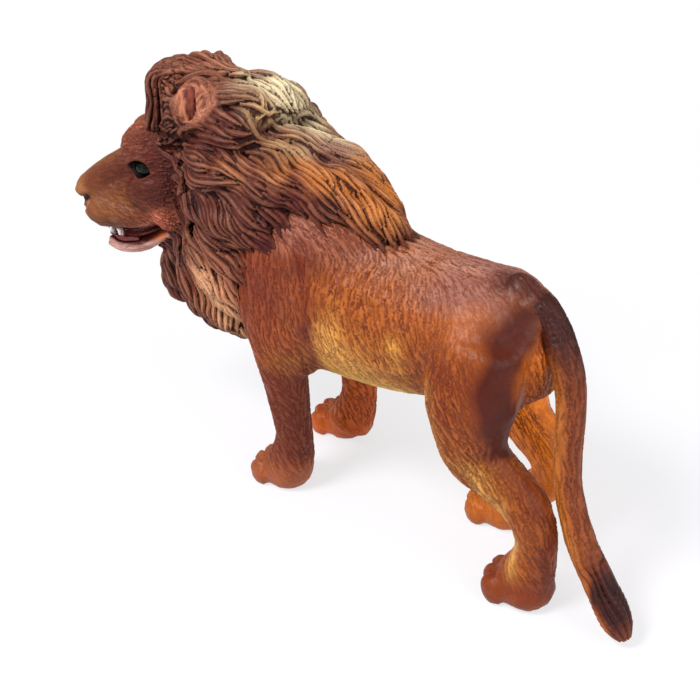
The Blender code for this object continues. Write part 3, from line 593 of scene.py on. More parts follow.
tail = skin_over("tail_hair", "tail", 0, TAIL_STEP, 6)
points, facing = points_of(tail)
TAIL_PATH = smooth_path(
    [
        (-1.8, 37.3, 61.2),
        (-1.3, 44.2, 56.5),
        (1.2, 49.4, 48),
        (2.1, 50.3, 37),
        (3.4, 51.2, 28),
        (6.1, 56.4, 17.5),
        (7.4, 62.8, 9),
        (8.2, 67.4, 2.2),
    ]
)
near = nearest_of(TAIL_PATH, points)
down = unit(np.gradient(TAIL_PATH, axis=0))[near]
share = near / (len(TAIL_PATH) - 1)
tuft = ramp(share, 0.70, 0.08)
side = lying(np.array((1.0, 0, 0)), down)
away = points - TAIL_PATH[near]
turn = np.arctan2((away * np.cross(down, side)).sum(-1), (away * side).sum(-1))
turn += 0.5 * wavy(points * (1, 1, 0.35), 4, 31)
marks = 0.8 * fur_strokes(points, facing, down, 1.7, 4.4, 0.22, 32)
locks = (1 - np.abs(np.sin(5.5 * turn))) ** 1.5
cut = np.maximum(marks * (1 - tuft), locks * (0.45 + 0.55 * tuft))
fuller = 0.42 * ramp(share, 0.12, 0.1) * (1 - tuft) + 0.8 * ramp(share, 0.84, 0.1)
fuller -= 0.9 * ramp(share, 0.09, -0.06)
points = points + facing * (0.04 + fuller - (0.22 + 0.26 * tuft) * cut)[:, None]
points[:, 2] = np.maximum(points[:, 2], TIP_REST)
put_points(tail, points)
paint = base_coat(points, (136, 74, 42))
# Painted light: the side of the tail turned to the left of the view is painted paler orange, and the same
# side of the tuft paler still, as if lit
lit_side = facing @ (0.68, -0.73, 0)
paint = washed(paint, (190, 116, 58), 0.85 * np.clip(lit_side * 1.8 - 0.55, 0, 1))
paint = washed(paint, (62, 32, 28), 0.93 * ramp(share, 0.34, -0.16))
paint = washed(paint, (54, 25, 23), 0.93 * tuft * np.clip(1.5 - 1.6 * np.abs(share - 0.86) / 0.16, 0, 1))
lit = np.clip(lit_side * 2.6 - 1.2 + 0.8 * wavy(points * (1, 1, 0.4), 2.5, 34), 0, 1)
paint = washed(paint, (178, 98, 42), 0.9 * ramp(share, 0.74, 0.08) * lit)
paint = washed(paint, (150, 80, 42), 0.8 * ramp(share, 0.975, 0.02))
paint = paint * (1 + 0.10 * wavy(points, 2, 33))[:, None]
paint = washed(paint, (48, 20, 14), 0.7 * cut)
finished(tail, paint, cut, coat_paint, "tail", "tail")

# MANE: COLLAR OF HAIR, FORELOCK AND EARS
# The mane is one moulding that slides over the neck as a collar. Long wavy strands lie side by side on it,
# away from the face, back and down. The square forelock, the beard and the ears belong to it.
MANE_STEP = 0.27
STRAND_PITCH = 1.15
FACE = Matrix.Translation(Vector((1.686, -42.231, 67.1)) * MM) @ Matrix.Rotation(math.radians(34), 4, "Z")
FACE_BACK = np.array(FACE.to_3x3())[:, 1]
EARS = ((10.0, 2.8, 20.8), (-10.0, 2.8, 20.8))
MANE_TRIANGLES = 190_000


def from_face(rows):
    """Places measured from the face, left, back and up in millimetres, put where the head is."""
    return np.array([FACE @ (Vector(row) * MM) for row in np.atleast_2d(rows)]) / MM


def to_face(points):
    return (points - np.array(FACE.translation) / MM) @ np.array(FACE.to_3x3())


def surface_of(obj):
    bpy.context.view_layer.update()
    return BVHTree.FromObject(obj, bpy.context.evaluated_depsgraph_get())


def joined(obj, *others):
    """Puts the meshes of other objects into one object."""
    bm = bmesh.new()
    bm.from_mesh(obj.data)
    for other in others:
        bm.from_mesh(other.data)
        bpy.data.objects.remove(other)
    bm.to_mesh(obj.data)
    bm.free()
    return obj


def stranded(name, strands):
    """Round strands as one mesh: each a row of places with a radius at each, in millimetres."""
    curve = bpy.data.curves.new(name, "CURVE")
    curve.dimensions = "3D"
    curve.bevel_depth = MM
    curve.bevel_resolution = 1
    curve.use_fill_caps = True
    for places, radii in strands:
        spline = curve.splines.new("POLY")
        spline.points.add(len(places) - 1)
        spline.points.foreach_set("co", np.c_[np.array(places) * MM, np.ones(len(places))].ravel())
        spline.points.foreach_set("radius", np.array(radii, float))
    obj = placed(name, curve)
    bpy.context.view_layer.update()
    mesh = bpy.data.meshes.new_from_object(obj.evaluated_get(bpy.context.evaluated_depsgraph_get()))
    bpy.data.objects.remove(obj)
    return placed(name, mesh)


def height_over(obj, passes):
    """How far each corner stands over the same surface smoothed, in millimetres."""
    points, _ = points_of(obj)
    flat = placed("flat", obj.data.copy())
    softened(flat, passes)
    settled(flat)
    level, facing = points_of(flat)
    bpy.data.objects.remove(flat)
    return ((points - level) * facing).sum(-1)


def from_ears(points):
    """How far each place is from the nearer ear, in millimetres."""
    return np.minimum(*(np.linalg.norm(to_face(points) - np.array(ear), axis=-1) for ear in EARS))


def hair_lie(point, facing):
    """The way that hair runs at a place: away from the face, back and down, round the ears, in waves."""
    fall = min(max((82 - point[2]) / 12, 0), 1)
    way = 0.7 * unit(point - from_face([0, -10, 0])[0])
    way = way + np.array((0, 0.75 - 0.35 * fall, -0.40 - 0.55 * fall))
    for ear in EARS:
        away = point - from_face(ear)[0]
        way += 1.1 * unit(away) * math.exp(-((away**2).sum() / 50) ** 2)
    way = lying(way[None], facing[None])[0]
    turn = 0.8 * noise.noise((Vector(point) + Vector((1.814, -6.769, 0))) / 8)
    turn += 0.35 * noise.noise(Vector(point) / 3.6)
    return unit(way + np.cross(facing, way) * turn)


def strand_path(surface, root, length, laid):
    """Places half a millimetre apart along the lie of the hair, both ways from a root, as room allows."""
    halves = []
    for sign in (-1, 1):
        half = []
        point, facing, _, _ = surface.find_nearest(Vector(root) * MM)
        while len(half) * 0.5 < length / 2:
            at, up = np.array(point) / MM, np.array(facing)
            beyond = collar_skin.find_nearest(point)[3] / MM
            if beyond > 3.2 or from_ears(at) < 4.6 or in_forelock(at) or crowded(at, laid):
                break
            half.append(at)
            point, facing, _, _ = surface.find_nearest(Vector(at + sign * hair_lie(at, up) * 0.5) * MM)
        halves.append(half)
    return np.array(halves[0][:0:-1] + halves[1])


def in_forelock(place):
    x, y, z = to_face(place[None])[0]
    return y < -5 and -5.0 < x < 6.8 and z > 11.5


def cell_of(place):
    return tuple(np.floor(place / STRAND_PITCH).astype(int))


def crowded(place, laid):
    """Whether a strand that is laid already runs closer than most of the pitch."""
    x, y, z = cell_of(place)
    for i, j, k in itertools.product((-1, 0, 1), repeat=3):
        for other in laid.get((x + i, y + j, z + k), ()):
            if ((other - place) ** 2).sum() < (0.72 * STRAND_PITCH) ** 2:
                return True
    return False


def strand_sides(points, facing, strands):
    """For each point, how far out it lies on its nearest strand, 0 on the crest and 1 in the groove beside,
    and how proud that strand is there."""
    middles, ways, radii, prouds = [], [], [], []
    for places, wide, proud in strands:
        middles.append(places)
        ways.append(unit(np.gradient(places, axis=0)))
        radii.append(wide)
        prouds.append(proud)
    middles, ways, radii, prouds = (np.concatenate(rows) for rows in (middles, ways, radii, prouds))
    near = nearest_of(middles, points)
    beside = unit(np.cross(facing, ways[near]))
    sides = np.abs(((points - middles[near]) * beside).sum(-1)) / radii[near]
    past = np.maximum(np.linalg.norm(points - middles[near], axis=-1) - 2.2, 0)
    return np.clip(sides + past, 0, 1.15), prouds[near]


rng = np.random.default_rng(12)
body = copied_nodes("body", "torso", "head", "front_left_leg", "front_right_leg")
body_skin = surface_of(body)
bpy.data.objects.remove(body)


def clear_of(skin, points):
    """How far each point is from a surface, in millimetres."""
    return np.array([skin.find_nearest(Vector(point * MM))[3] / MM for point in points])


# The collar itself, thinned where the strands will lie on it, and to nothing along the edge round the face
mane = copied_nodes("mane_hair", "mane")
melted(mane, MANE_STEP)
settled(mane)
collar_skin = surface_of(mane)
points, facing = points_of(mane)
clear = clear_of(body_skin, points)
local = to_face(points)
outer = points[(clear > 1.2) & (from_ears(points) > 5)]
edge = np.interp(local[:, 2], (-12, -7, 6, 14, 18), (-4.5, -3.6, -1.1, -5.0, -8.0))
rim = np.clip(1 - (local[:, 1] - edge) / 4.5, 0, 1) * (np.abs(local[:, 0]) < 14) * (local[:, 2] > -11)
rim *= (local[:, 2] < 15) | (local[:, 0] > 6) | (local[:, 0] < -4.5)
eared = ramp(from_ears(points), 4.6, 1.2)
thin = np.clip(clear - 0.7, 0, 2.2) * rim * eared
block = (local[:, 1] < -7.5) & (local[:, 2] > 13) & (np.abs(local[:, 0] - 0.9) < 6)
thin = np.maximum(thin, 1.0 * block)
put_points(mane, points - facing * thin[:, None])
softened(mane, 2)
settled(mane)

# Strands are laid side by side over it, and past its own edge over the shoulder
laying = copied_nodes("laying", "torso", "head", "lower_jaw", "front_left_leg", "front_right_leg")
swollen(laying, 0.4)
settled(laying)
ground = copied_nodes("ground", "mane")
joined(ground, laying)
melted(ground, 0.7)
softened(ground, 4)
settled(ground)
hair_ground = surface_of(ground)
bpy.data.objects.remove(ground)
strands, laid = [], {}
for root in outer[rng.permutation(len(outer))[:9000]]:
    if crowded(root, laid):
        continue
    path = strand_path(hair_ground, root, rng.uniform(11, 22), laid)
    if len(path) < 5:
        continue
    share = np.linspace(0, 1, len(path))
    wide = STRAND_PITCH * 0.62 * np.interp(share, (0, 0.15, 0.75, 1), (0.7, 1, 1, 0.5))
    wide = wide * rng.uniform(0.85, 1.15)
    proud = rng.uniform(-0.16, 0.16) + 0.22 * np.sin(math.pi * np.clip(share * 1.1 - 0.1, 0, 1)) - 0.08
    strands.append((path, wide, proud))
    for place in path:
        laid.setdefault(cell_of(place), []).append(place)

# Roots and tips that run past the collar's edge lie on the cheek and on the shoulder as a fringe
fringe = []
for path, wide, proud in strands:
    for places in (path, path[::-1]):
        beyond = clear_of(collar_skin, places)
        first = max(int(np.argmax(beyond > 0.4)) - 9, 0)
        if beyond[-1] > 0.6 and len(places) - first > 3:
            full = np.interp(np.linspace(0, 1, len(places) - first), (0, 0.6, 1), (0.75, 0.7, 0.18))
            ups = np.array([hair_ground.find_nearest(Vector(place * MM))[1] for place in places[first:]])
            fringe.append((places[first:] - ups * 0.42, full))

# The hair that half fills the hollow of each ear
ear_hairs = []
for side in (-1, 1):
    for spread in (-1.1, 0.0, 1.1):
        path = [(10.2, 0.9 + spread * 0.6, 16.6), (10.9, 0.6 + spread * 0.9, 19.0)]
        path += [(11.1, 0.9 + spread, 21.6), (10.6, 1.4 + spread * 1.2, 24.2)]
        path = from_face(smooth_path(path, 3) * (side, 1, 1))
        ear_hairs.append((path, np.linspace(1.7, 1.1, len(path))))
fringe += ear_hairs

# The forelock: strands that rise round a square block over the brow and turn back over its top
uprights = [(5.2, y, 5.2, 13.0) for y in (-9.4, -8.4, -7.4, -6.3, -5.2)]
uprights += [(-3.5, y, -3.5, 13.0) for y in (-9.2, -8.2, -7.0, -5.8)]
for tip, low, *lock in (
    (-2.6, 12.2, -3.3, -2.6, -1.9),
    (-0.6, 10.8, -1.2, -0.5, 0.2),
    (1.5, 11.8, 0.9, 1.6, 2.3),
    (3.7, 10.6, 3.0, 3.8, 4.6),
):
    uprights += [(x, -9.9, tip, low) for x in lock]
for x, y, tip, low in uprights:
    lean, top = rng.uniform(-0.6, 0.6, 2), rng.uniform(-0.5, 0.5)
    x, y = x + rng.uniform(-0.2, 0.2), y + rng.uniform(-0.35, 0.25)
    path = [
        (x * 0.15 + tip * 0.85, y - 1.2, low + 0.5 * top),
        (x * 0.7 + tip * 0.3, y - 0.4, 15.0),
        (x + lean[0], y + lean[1] * 0.4, 20.0),
        (x, y + 0.1, 23.6),
        (x * 0.97, y + 1.3, 25.3 + top),
        (x * 0.93 + lean[0], y + 4.5, 26.0 + top),
        (x * 0.9 + lean[1], y + 9.0, 25.2),
        (x * 0.8, y + 14.0, 23.6),
    ]
    path = smooth_path(path, 2)
    full = np.interp(np.linspace(0, 1, len(path)), (0, 0.2, 0.7, 1), (0.2, 1, 1, 0.35))
    path, full = from_face(path), 0.74 * full * rng.uniform(0.7, 1.25)
    fringe.append((path, full))
    strands.append((path, full * 0.85, np.zeros(len(path))))
joined(mane, stranded("fringe", fringe))
melted(mane, MANE_STEP)
softened(mane, 1)
settled(mane)

points, facing = points_of(mane)
sides, proud = strand_sides(points, facing, strands)
hairy = ramp(clear_of(body_skin, points), 0.4, 0.6) * ramp(from_ears(points), 4.4, 1.0)
put_points(mane, points + facing * ((0.16 - 0.62 * sides**2.2 + proud) * hairy)[:, None])

# The collar is open inside, for the neck, the chest and the back of the head
for name in ("torso", "front_left_leg", "front_right_leg", "head", "lower_jaw"):
    core = copied_nodes(name + "_core", name)
    swollen(core, 0.12)
    settled(core)
    cut_by(mane, core)
thinned = mane.modifiers.new("Thin", "DECIMATE")
thinned.ratio = min(1, MANE_TRIANGLES / (2 * len(mane.data.polygons)))
settled(mane)


def largest_body(obj):
    """Drops the crumbs that a cut leaves beside the main body."""
    bm = bmesh.new()
    bm.from_mesh(obj.data)
    unseen, bodies = set(bm.verts), []
    while unseen:
        body, front = [], [unseen.pop()]
        while front:
            vert = front.pop()
            body.append(vert)
            for edge in vert.link_edges:
                other = edge.other_vert(vert)
                if other in unseen:
                    unseen.discard(other)
                    front.append(other)
        bodies.append(body)
    for body in sorted(bodies, key=len)[:-1]:
        bmesh.ops.delete(bm, geom=body, context="VERTS")
    bm.to_mesh(obj.data)
    bm.free()


largest_body(mane)
points, facing = points_of(mane)
eared = ramp(from_ears(points), 4.4, 1.0)
sides, proud = strand_sides(points, facing, strands)
groove = sides**2.5 * eared
hairy = ramp(clear_of(body_skin, points), 0.4, 0.6)
outward = np.cross(facing, (0, 0, 1.0)) * 0.2 + (0, 0.3, 1.0)
ear_fur = fur_strokes(points, facing, outward, 1.2, 4.5, 0.24, 19) * (1 - eared)
put_points(mane, points - facing * ((0.10 * groove + 0.22 * ear_fur) * hairy)[:, None])
points, facing = points_of(mane)

# The forelock sits a little back from the brow
local = to_face(points)
back = 1.1 * ramp(local[:, 2], 15, 5) * ramp(local[:, 1], -5.5, -4)
put_points(mane, points + back[:, None] * FACE_BACK)
points, facing = points_of(mane)
height = height_over(mane, 14)

# The paint: red-brown over the locks, with dark in the grooves and hollows between them, partly a dark wash
# and partly painted shade, and paler crests, partly the toy's paint and partly a painted highlight; cream
# along the crest of the neck, orange-gold behind, tan at the chest and dark under the chin; and painted
# shade in the recesses at the mane's edge, behind the ears and beside the cheeks
mixed = wavy(points, 5, 23)
place = points + wandering(points, 6, 24) * 1.6
left = folded(place, BODY_MIDDLE)
paint = base_coat(points, (80, 37, 29))
paint = washed(paint, (104, 56, 44), 0.30 + 0.45 * mixed)
paint = washed(paint, (168, 108, 84), 0.6 * dab(place, (2, -39, 92), (10, 9, 6)))
paint = washed(paint, (82, 36, 32), np.clip(-mixed, 0, 1) * 0.6)
paint = brushed(
    paint,
    left,
    ((176, 108, 80), 0.8, (16.5, -29, 50), (6, 7, 8)),
    ((212, 160, 118), 0.9, [(17.5, -31, 52), (15.5, -28, 46), (12, -27, 40), (4, -27, 35)], 3.8),
    ((176, 112, 64), 0.75, [(11, -16, 83), (10.5, -12, 79), (9, -14, 76)], 3.0),
    ((154, 98, 66), 0.65, (15, -21.5, 77.5), (5, 4.5, 4)),
    ((196, 122, 62), 0.85, [(7, -7, 79), (5.5, -1, 75.7), (4, 4, 72), (2, 8, 69.5)], 3.4),
    ((188, 112, 54), 0.75, [(6, -7, 77), (4.5, -1.5, 75.5), (2.8, 4, 72)], 3.0),
)
paint = brushed(
    paint,
    place,
    ((236, 220, 178), np.clip(0.75 + height * 2.5, 0.6, 0.97), [
        (-4, -25, 90.5), (-6.8, -21, 87), (-8.5, -16.5, 83.5), (-8, -12, 80)
    ], 5.6),
    ((214, 172, 124), 0.85, [(2, -21.5, 87.5), (3.2, -16.5, 84), (2, -11.5, 81)], 3.0),
    ((132, 82, 80), 0.7, (-5, -9, 79.5), (6, 4.5, 4)),
)
paint = washed(paint, (70, 37, 35), 0.9 * along(left, [(12, -46, 55), (12.5, -45, 50), (13, -43, 46)], 4.6))
# Painted highlight: the crests of the locks are paled, partly the toy's paint and partly a painted highlight
high = np.clip((height - 0.05) / 0.20 + 0.8 * proud, 0, 1)
paint = washed(paint, (222, 164, 130), 0.154 * high)
# Painted shade: dark paint in the recesses where the mane's edge meets the shoulder, behind each ear and
# beside the cheek
recess_shade = [(8.6, -8.7, 75.9), (12, -8.2, 73.4), (14.4, -11.5, 65), (15, -15.3, 58.7), (14.5, -18, 50)]
recess_shade = along(left, recess_shade, 3.0)
recess_shade = np.maximum(recess_shade, 0.9 * along(place, [(12, -29.5, 88), (13, -28, 84.5)], 2.4))
recess_shade = np.maximum(recess_shade, 0.3 * along(left, [(16, -34, 76), (17, -33, 70)], 2.2))
paint = washed(paint, (84, 34, 30), 0.75 * recess_shade)
# Painted shade: the grooves and hollows between the locks are darkened, partly a dark wash and partly
# painted shade
low = np.clip(-height / 0.28 + 0.75 * groove - 0.08, 0, 1)
paint = washed(paint, (52, 20, 18), 0.90 * low)
inside = from_ears(points) < 5.6
outer = [np.linalg.norm((to_face(points) - np.array(ear)) / (3.4, 3.4, 5.4), axis=-1) for ear in EARS]
outer = np.minimum(*outer)
paint = washed(paint, (172, 112, 88), (1 - eared) * ramp(outer, 0.86, 0.12) * inside)
paint = washed(paint, (80, 36, 34), (1 - eared) * ramp(outer, 0.88, -0.12) * inside)
tufts = np.concatenate([path for path, _ in ear_hairs])
from_tufts = np.linalg.norm(points - tufts[nearest_of(tufts, points)], axis=-1)
paint = washed(paint, (128, 70, 56), 0.9 * ramp(from_tufts, 2.2, -0.5) * ramp(outer, 0.88, -0.12))
paint = washed(paint, (58, 24, 24), 0.5 * ear_fur)
stored(mane, "across", sides)
mane_paint = paint_material("mane_paint", 0.46, 0.22, 0.4, 0.4, hairs=1.6)
finished(mane, paint, low, mane_paint, "mane", "mane")

# HEAD: SKULL, MUZZLE AND CHEEKS
# The head is one moulding, plugged into the neck, with the face sculpted on it: brow, eyelids, nose pad,
# whisker pads and lips. Its fur is engraved finely, and it is painted olive-tan on the muzzle and red-brown
# round the eyes.
HEAD_STEP = 0.22
EYE_OUT = unit(np.array((0.90, -0.40, 0.16)))
EYE_LONG = unit(np.array((0.34, 0.86, -0.38)))
EYE_HIGH = np.cross(EYE_OUT, EYE_LONG)
EYE_HIGH = EYE_HIGH * np.sign(EYE_HIGH[2])
EYE_SIZE = (2.3, 1.85)

face = copied_nodes("face", "head")
swollen(face, 0.05)
settled(face)
balls = []
for side in (-1, 1):
    bm = bmesh.new()
    place = FACE @ Matrix.Translation(Vector((side * 4.7, -12.5, 5.3)) * MM)
    place = place @ Matrix.Diagonal((0.9, 1, 0.8, 1))
    bmesh.ops.create_uvsphere(bm, u_segments=24, v_segments=16, radius=2.6 * MM, matrix=place)
    balls.append(modelled("ball", bm))
joined(face, *balls)
melted(face, HEAD_STEP)
softened(face, 6)
settled(face)

# Where the lids meet the eye: on the skin, straight out from the eyeball
face_skin = surface_of(face)
eye_ball = Vector((4.9, -11.7, 5.4))
start = from_face(eye_ball + Vector(EYE_OUT * 12))[0]
aim = FACE.to_3x3() @ Vector(-EYE_OUT)
EYE_PLACE = to_face(np.array(face_skin.ray_cast(Vector(start * MM), aim)[0])[None] / MM)[0]


def round_eye(local):
    """How far each place is from the eye's middle, with its rim at 1: an almond, mirrored on the right."""
    away = local * np.where(local[:, :1] < 0, (-1, 1, 1), (1, 1, 1)) - EYE_PLACE
    wide = away @ EYE_LONG / EYE_SIZE[0]
    high = away @ EYE_HIGH / (EYE_SIZE[1] * np.sqrt(np.clip(1.05 - wide**2, 0.05, 1)) ** 0.6)
    near = (away**2).sum(-1) < 30
    return np.where(near, np.sqrt(wide**2 + high**2), 9)


points, facing = points_of(face)
local = to_face(points)
left = folded(local, 0)
lids = round_eye(local)
press = formed(
    0,
    left,
    (-0.9, [(1.3, -17.6, 8.0), (1.5, -15.0, 11.8), (1.6, -12.3, 15.0), (1.6, -9.5, 17.5)], 0.7),
    (0.6, [(3.2, -16.6, 9.2), (3.6, -14.0, 12.4), (3.8, -10.8, 15.2)], 1.5),
)
press -= 1.3 * ramp(lids, 1.06, -0.35)
press += 0.34 * np.exp(-((lids - 1.28) / 0.22) ** 2)
press = formed(
    press,
    left,
    (0.45, [(2.8, -16.2, 6.8), (4.4, -14.8, 8.4), (6.2, -12.4, 8.8), (7.4, -10.4, 7.6)], 1.0),
    (-0.40, [(3.2, -15.4, 9.8), (5.0, -13.2, 11.0), (6.8, -10.8, 10.6)], 0.8),
    (-0.35, [(3.0, -13.6, 13.0), (4.8, -11.6, 13.6), (6.4, -9.6, 13.0)], 0.7),
    (-0.55, [(2.9, -16.8, 4.4), (2.9, -18.4, 2.6), (3.2, -20.5, 1.4)], 0.8),
    (-0.4, [(4.6, -14.6, 2.4), (6.2, -12.4, 1.2), (7.6, -9.5, 1.0)], 1.0),
    (-1.2, [(1.2, -30.0, -3.0), (2.1, -29.3, -3.2), (2.9, -28.2, -2.7), (3.4, -27.0, -2.0)], 0.6),
    (0.40, [(1.4, -29.9, -1.0), (2.9, -28.5, -0.9), (3.9, -26.8, -0.8)], 0.7),
    (-0.7, [(0, -30.5, -3.6), (0, -30.2, -5.4), (0, -29, -8)], 0.5),
    (-0.6, [(4.4, -26.4, -1.6), (3.9, -27.6, -4.0), (2.2, -29.0, -5.0), (0.4, -29.8, -4.8)], 0.45),
    (0.4, (3.6, -26, -4.9), (2.4, 3.4, 2.2)),
)
for row in range(3):
    path = [(3.9, -28.0 + row, -5.2 - 0.9 * row), (5.0, -24.0 + row, -4.2 - 1.1 * row)]
    press -= 0.20 * along(left, path + [(5.6, -21.4 + row, -3.6 - 1.2 * row)], 0.28)
press = formed(
    press,
    left,
    (0.32, [
        (2, -29, -8.0), (4.2, -26, -8.8), (5.6, -21, -8.4), (6.6, -16, -7.4), (7.2, -11, -6.2)
    ], 0.8),
    (-0.7, [(7.0, -11.4, -6.9), (7.4, -8.8, -7.2), (7.8, -6.4, -7.4)], 0.5),
    (0.35, (8.2, -8.0, -4.6), (3.2, 3.6, 2.2)),
    (-0.35, [(5.6, -20, -2.5), (7.0, -15, -3.4), (8.0, -11, -4.0)], 0.9),
)
points, facing = raised(face, points, facing, press)

# Fine fur that runs back from the nose, up the brow and down the cheek, longer where it meets the mane
back = np.tile(FACE_BACK, (len(points), 1))
out = unit(points - from_face([0, -24, 0])[0])
lie = back + out * 0.6 + np.array((0, 0, -0.5)) * ramp(left[:, 2:], 2, -8)
marks = fur_strokes(points, facing, lie, 0.95, 2.0, 0.20, 41)
long_marks = fur_strokes(points, facing, lie, 1.25, 4.2, 0.30, 42)
mane_side = np.maximum(ramp(left[:, 1], -11.5, 4), 0.8 * ramp(left[:, 2], 8.5, 3))
bare = np.clip(dab(left, (0, -30, -1), (3.4, 3.4, 2.8)) + 1.2 * ramp(lids, 1.5, -0.3), 0, 1)
marks = marks * np.clip(0.35 + (left[:, 1] + 25) / 14, 0.15, 0.9)
cut = np.maximum(marks, long_marks * mane_side) * (1 - bare)
put_points(face, points + facing * (0.03 - (0.10 + 0.34 * mane_side) * cut)[:, None])

blurred = left + wandering(points, 4, 42) * 0.7
paint = base_coat(points, (94, 52, 38))
paint = brushed(
    paint,
    blurred,
    ((134, 86, 56), 0.9, [(0, -29, 3), (0, -24, 6), (0, -18, 9)], 3.0),
    ((168, 102, 80), 0.9, (3.2, -13.5, 13), (4.6, 6, 5)),
    ((150, 100, 72), 0.5, (0, -16, 12), (2.0, 5, 6)),
    ((94, 46, 36), 0.8, (8, -9, 8), (5, 6, 7)),
    # Painted shade: a dark band along the cheek below the eye
    ((78, 38, 28), 0.6, [(5.5, -21, 0), (7, -15, 0.5), (8.6, -9.5, -0.5)], 3.0),
    ((132, 86, 56), 0.85, (5.4, -21.5, -3.5), (4.4, 9, 5)),
    ((190, 110, 84), 0.85, (8.4, -8.0, -6.0), (4.0, 4.6, 3.6)),
    ((150, 100, 66), 0.8, (2.2, -29.8, 0.2), (2.6, 2.4, 2.2)),
)
paint = brushed(
    paint,
    left,
    ((206, 140, 108), 0.6, [(4.3, -27.2, -2.6), (4.0, -27.4, -5.4)], 0.5),
    ((206, 138, 116), 0.85, [
        (2, -29.4, -8.6), (4.2, -26.2, -9.4), (5.6, -21, -9.1), (6.6, -16, -8.2), (7.0, -12, -7.2)
    ], 0.75),
    ((34, 18, 16), 0.95, [
        (1.2, -30.0, -3.0), (2.1, -29.3, -3.2), (2.9, -28.2, -2.7), (3.4, -27.0, -2.0)
    ], 0.6),
    ((52, 24, 20), 0.9, [(0, -30.5, -3.8), (0, -30.2, -5.4), (0, -29, -8)], 0.45),
    ((48, 22, 18), 0.9, [(7.0, -11.8, -6.9), (7.4, -8.8, -7.2), (7.8, -6.2, -7.4)], 0.6),
    ((196, 104, 52), 0.8, [(7.0, -11.6, -8.4), (7.8, -8.6, -8.8), (8.2, -5.5, -8.8)], 0.8),
    ((56, 24, 20), 0.9, [
        (1.3, -17.6, 8.0), (1.5, -15.0, 11.8), (1.6, -12.3, 15.0), (1.6, -9.5, 17.5)
    ], 0.65),
)
paint = paint * (1 + 0.09 * wavy(points, 2, 45))[:, None]
paint = washed(paint, (66, 28, 22), 0.75 * cut)
paint = washed(paint, (30, 22, 20), 0.95 * ramp(lids, 1.22, -0.12))
paint = washed(paint, (112, 44, 46), ramp(left[:, 2], -6.5, -1.2) * np.clip(-facing[:, 2] * 3 - 1.6, 0, 1))
finished(face, paint, cut, paint_material("face_paint", 0.48, 0.20, 0.4, 0.3), "face", "head")

# LOWER JAW
# The lower jaw is a separate moulding, glued up into the skull with the mouth open: a round chin with a
# trough inside for the tongue. It is painted pale pink below, brown along the lip and dark maroon inside.
jaw = skin_over("jaw_skin", "lower_jaw", 0.04, 0.20, 5)
points, facing = points_of(jaw)
local = to_face(points)
left = folded(local, 0)
press = formed(
    0,
    left,
    (0.30, [(0.8, -25.6, -11.6), (3.0, -24.0, -12.0), (3.8, -20, -12.0), (4.4, -15, -10.8)], 0.7),
    (-0.35, [(0, -26.4, -13.2), (0, -25, -15.4), (0, -22, -16.6)], 0.6),
    (-0.30, [(1.4, -25.8, -13.0), (3.6, -23.4, -13.6), (4.6, -19, -13.4), (5.4, -14, -12.0)], 0.5),
)
points, facing = raised(jaw, points, facing, press)
back = np.tile(FACE_BACK, (len(points), 1))
cut = fur_strokes(points, facing, back, 1.0, 2.2, 0.20, 51) * np.clip((-12.6 - local[:, 2]) / 1.5, 0, 0.8)
put_points(jaw, points - facing * (0.12 * cut)[:, None])
inside = np.clip(facing[:, 2] * 2.4 - 0.5, 0, 1)
paint = base_coat(points, (198, 156, 144))
paint = washed(paint, (160, 108, 92), 0.6 + 0.5 * wavy(points, 3, 52) * ramp(local[:, 1], -22, 8))
paint = brushed(
    paint,
    left,
    ((214, 178, 168), 0.9, (2.5, -22, -16.5), (4, 6, 2.6)),
    ((168, 108, 84), 0.7, [
        (0.8, -26, -12.2), (3.4, -24, -12.6), (4.4, -20, -12.6), (5.2, -15, -11.2)
    ], 0.8),
)
paint = washed(paint, (72, 30, 30), inside)
paint = washed(paint, (196, 104, 56), 0.8 * dab(left, (6.4, -11.5, -10.5), (2.2, 3.5, 1.8)))
paint = washed(paint, (92, 48, 42), 0.6 * cut)
finished(jaw, paint, cut, paint_material("jaw_paint", 0.42, 0.24, 0.4, 0.35), "jaw", "lower_jaw")

# TONGUE
# The tongue is a thin moulding that lies in the jaw's trough, furrowed down its middle, rough on top, and
# painted a dark, glossy maroon.
tongue = skin_over("tongue_skin", "tongue", 0.03, 0.12, 4)
points, facing = points_of(tongue)
local = to_face(points)
top = np.clip(facing[:, 2], 0, 1)
furrow = np.exp(-((local[:, 0] / 0.45) ** 2)) * top
rough = wavy(points, 0.45, 53)
put_points(tongue, points + facing * ((0.06 * rough - 0.25 * furrow) * top)[:, None])
paint = base_coat(points, (124, 62, 54))
# Painted shade: the tongue darkens towards its back, deep in the mouth
paint = washed(paint, (60, 32, 28), ramp(local[:, 1], -17, 6))
paint = washed(paint, (156, 92, 78), 0.35 * np.clip(rough, 0, 1))
paint = washed(paint, (70, 26, 26), 0.6 * furrow)
tongue_paint = paint_material("tongue_paint", 0.26, 0.45, 0.3, 0.3)
finished(tongue, paint, furrow, tongue_paint, "tongue", "tongue")

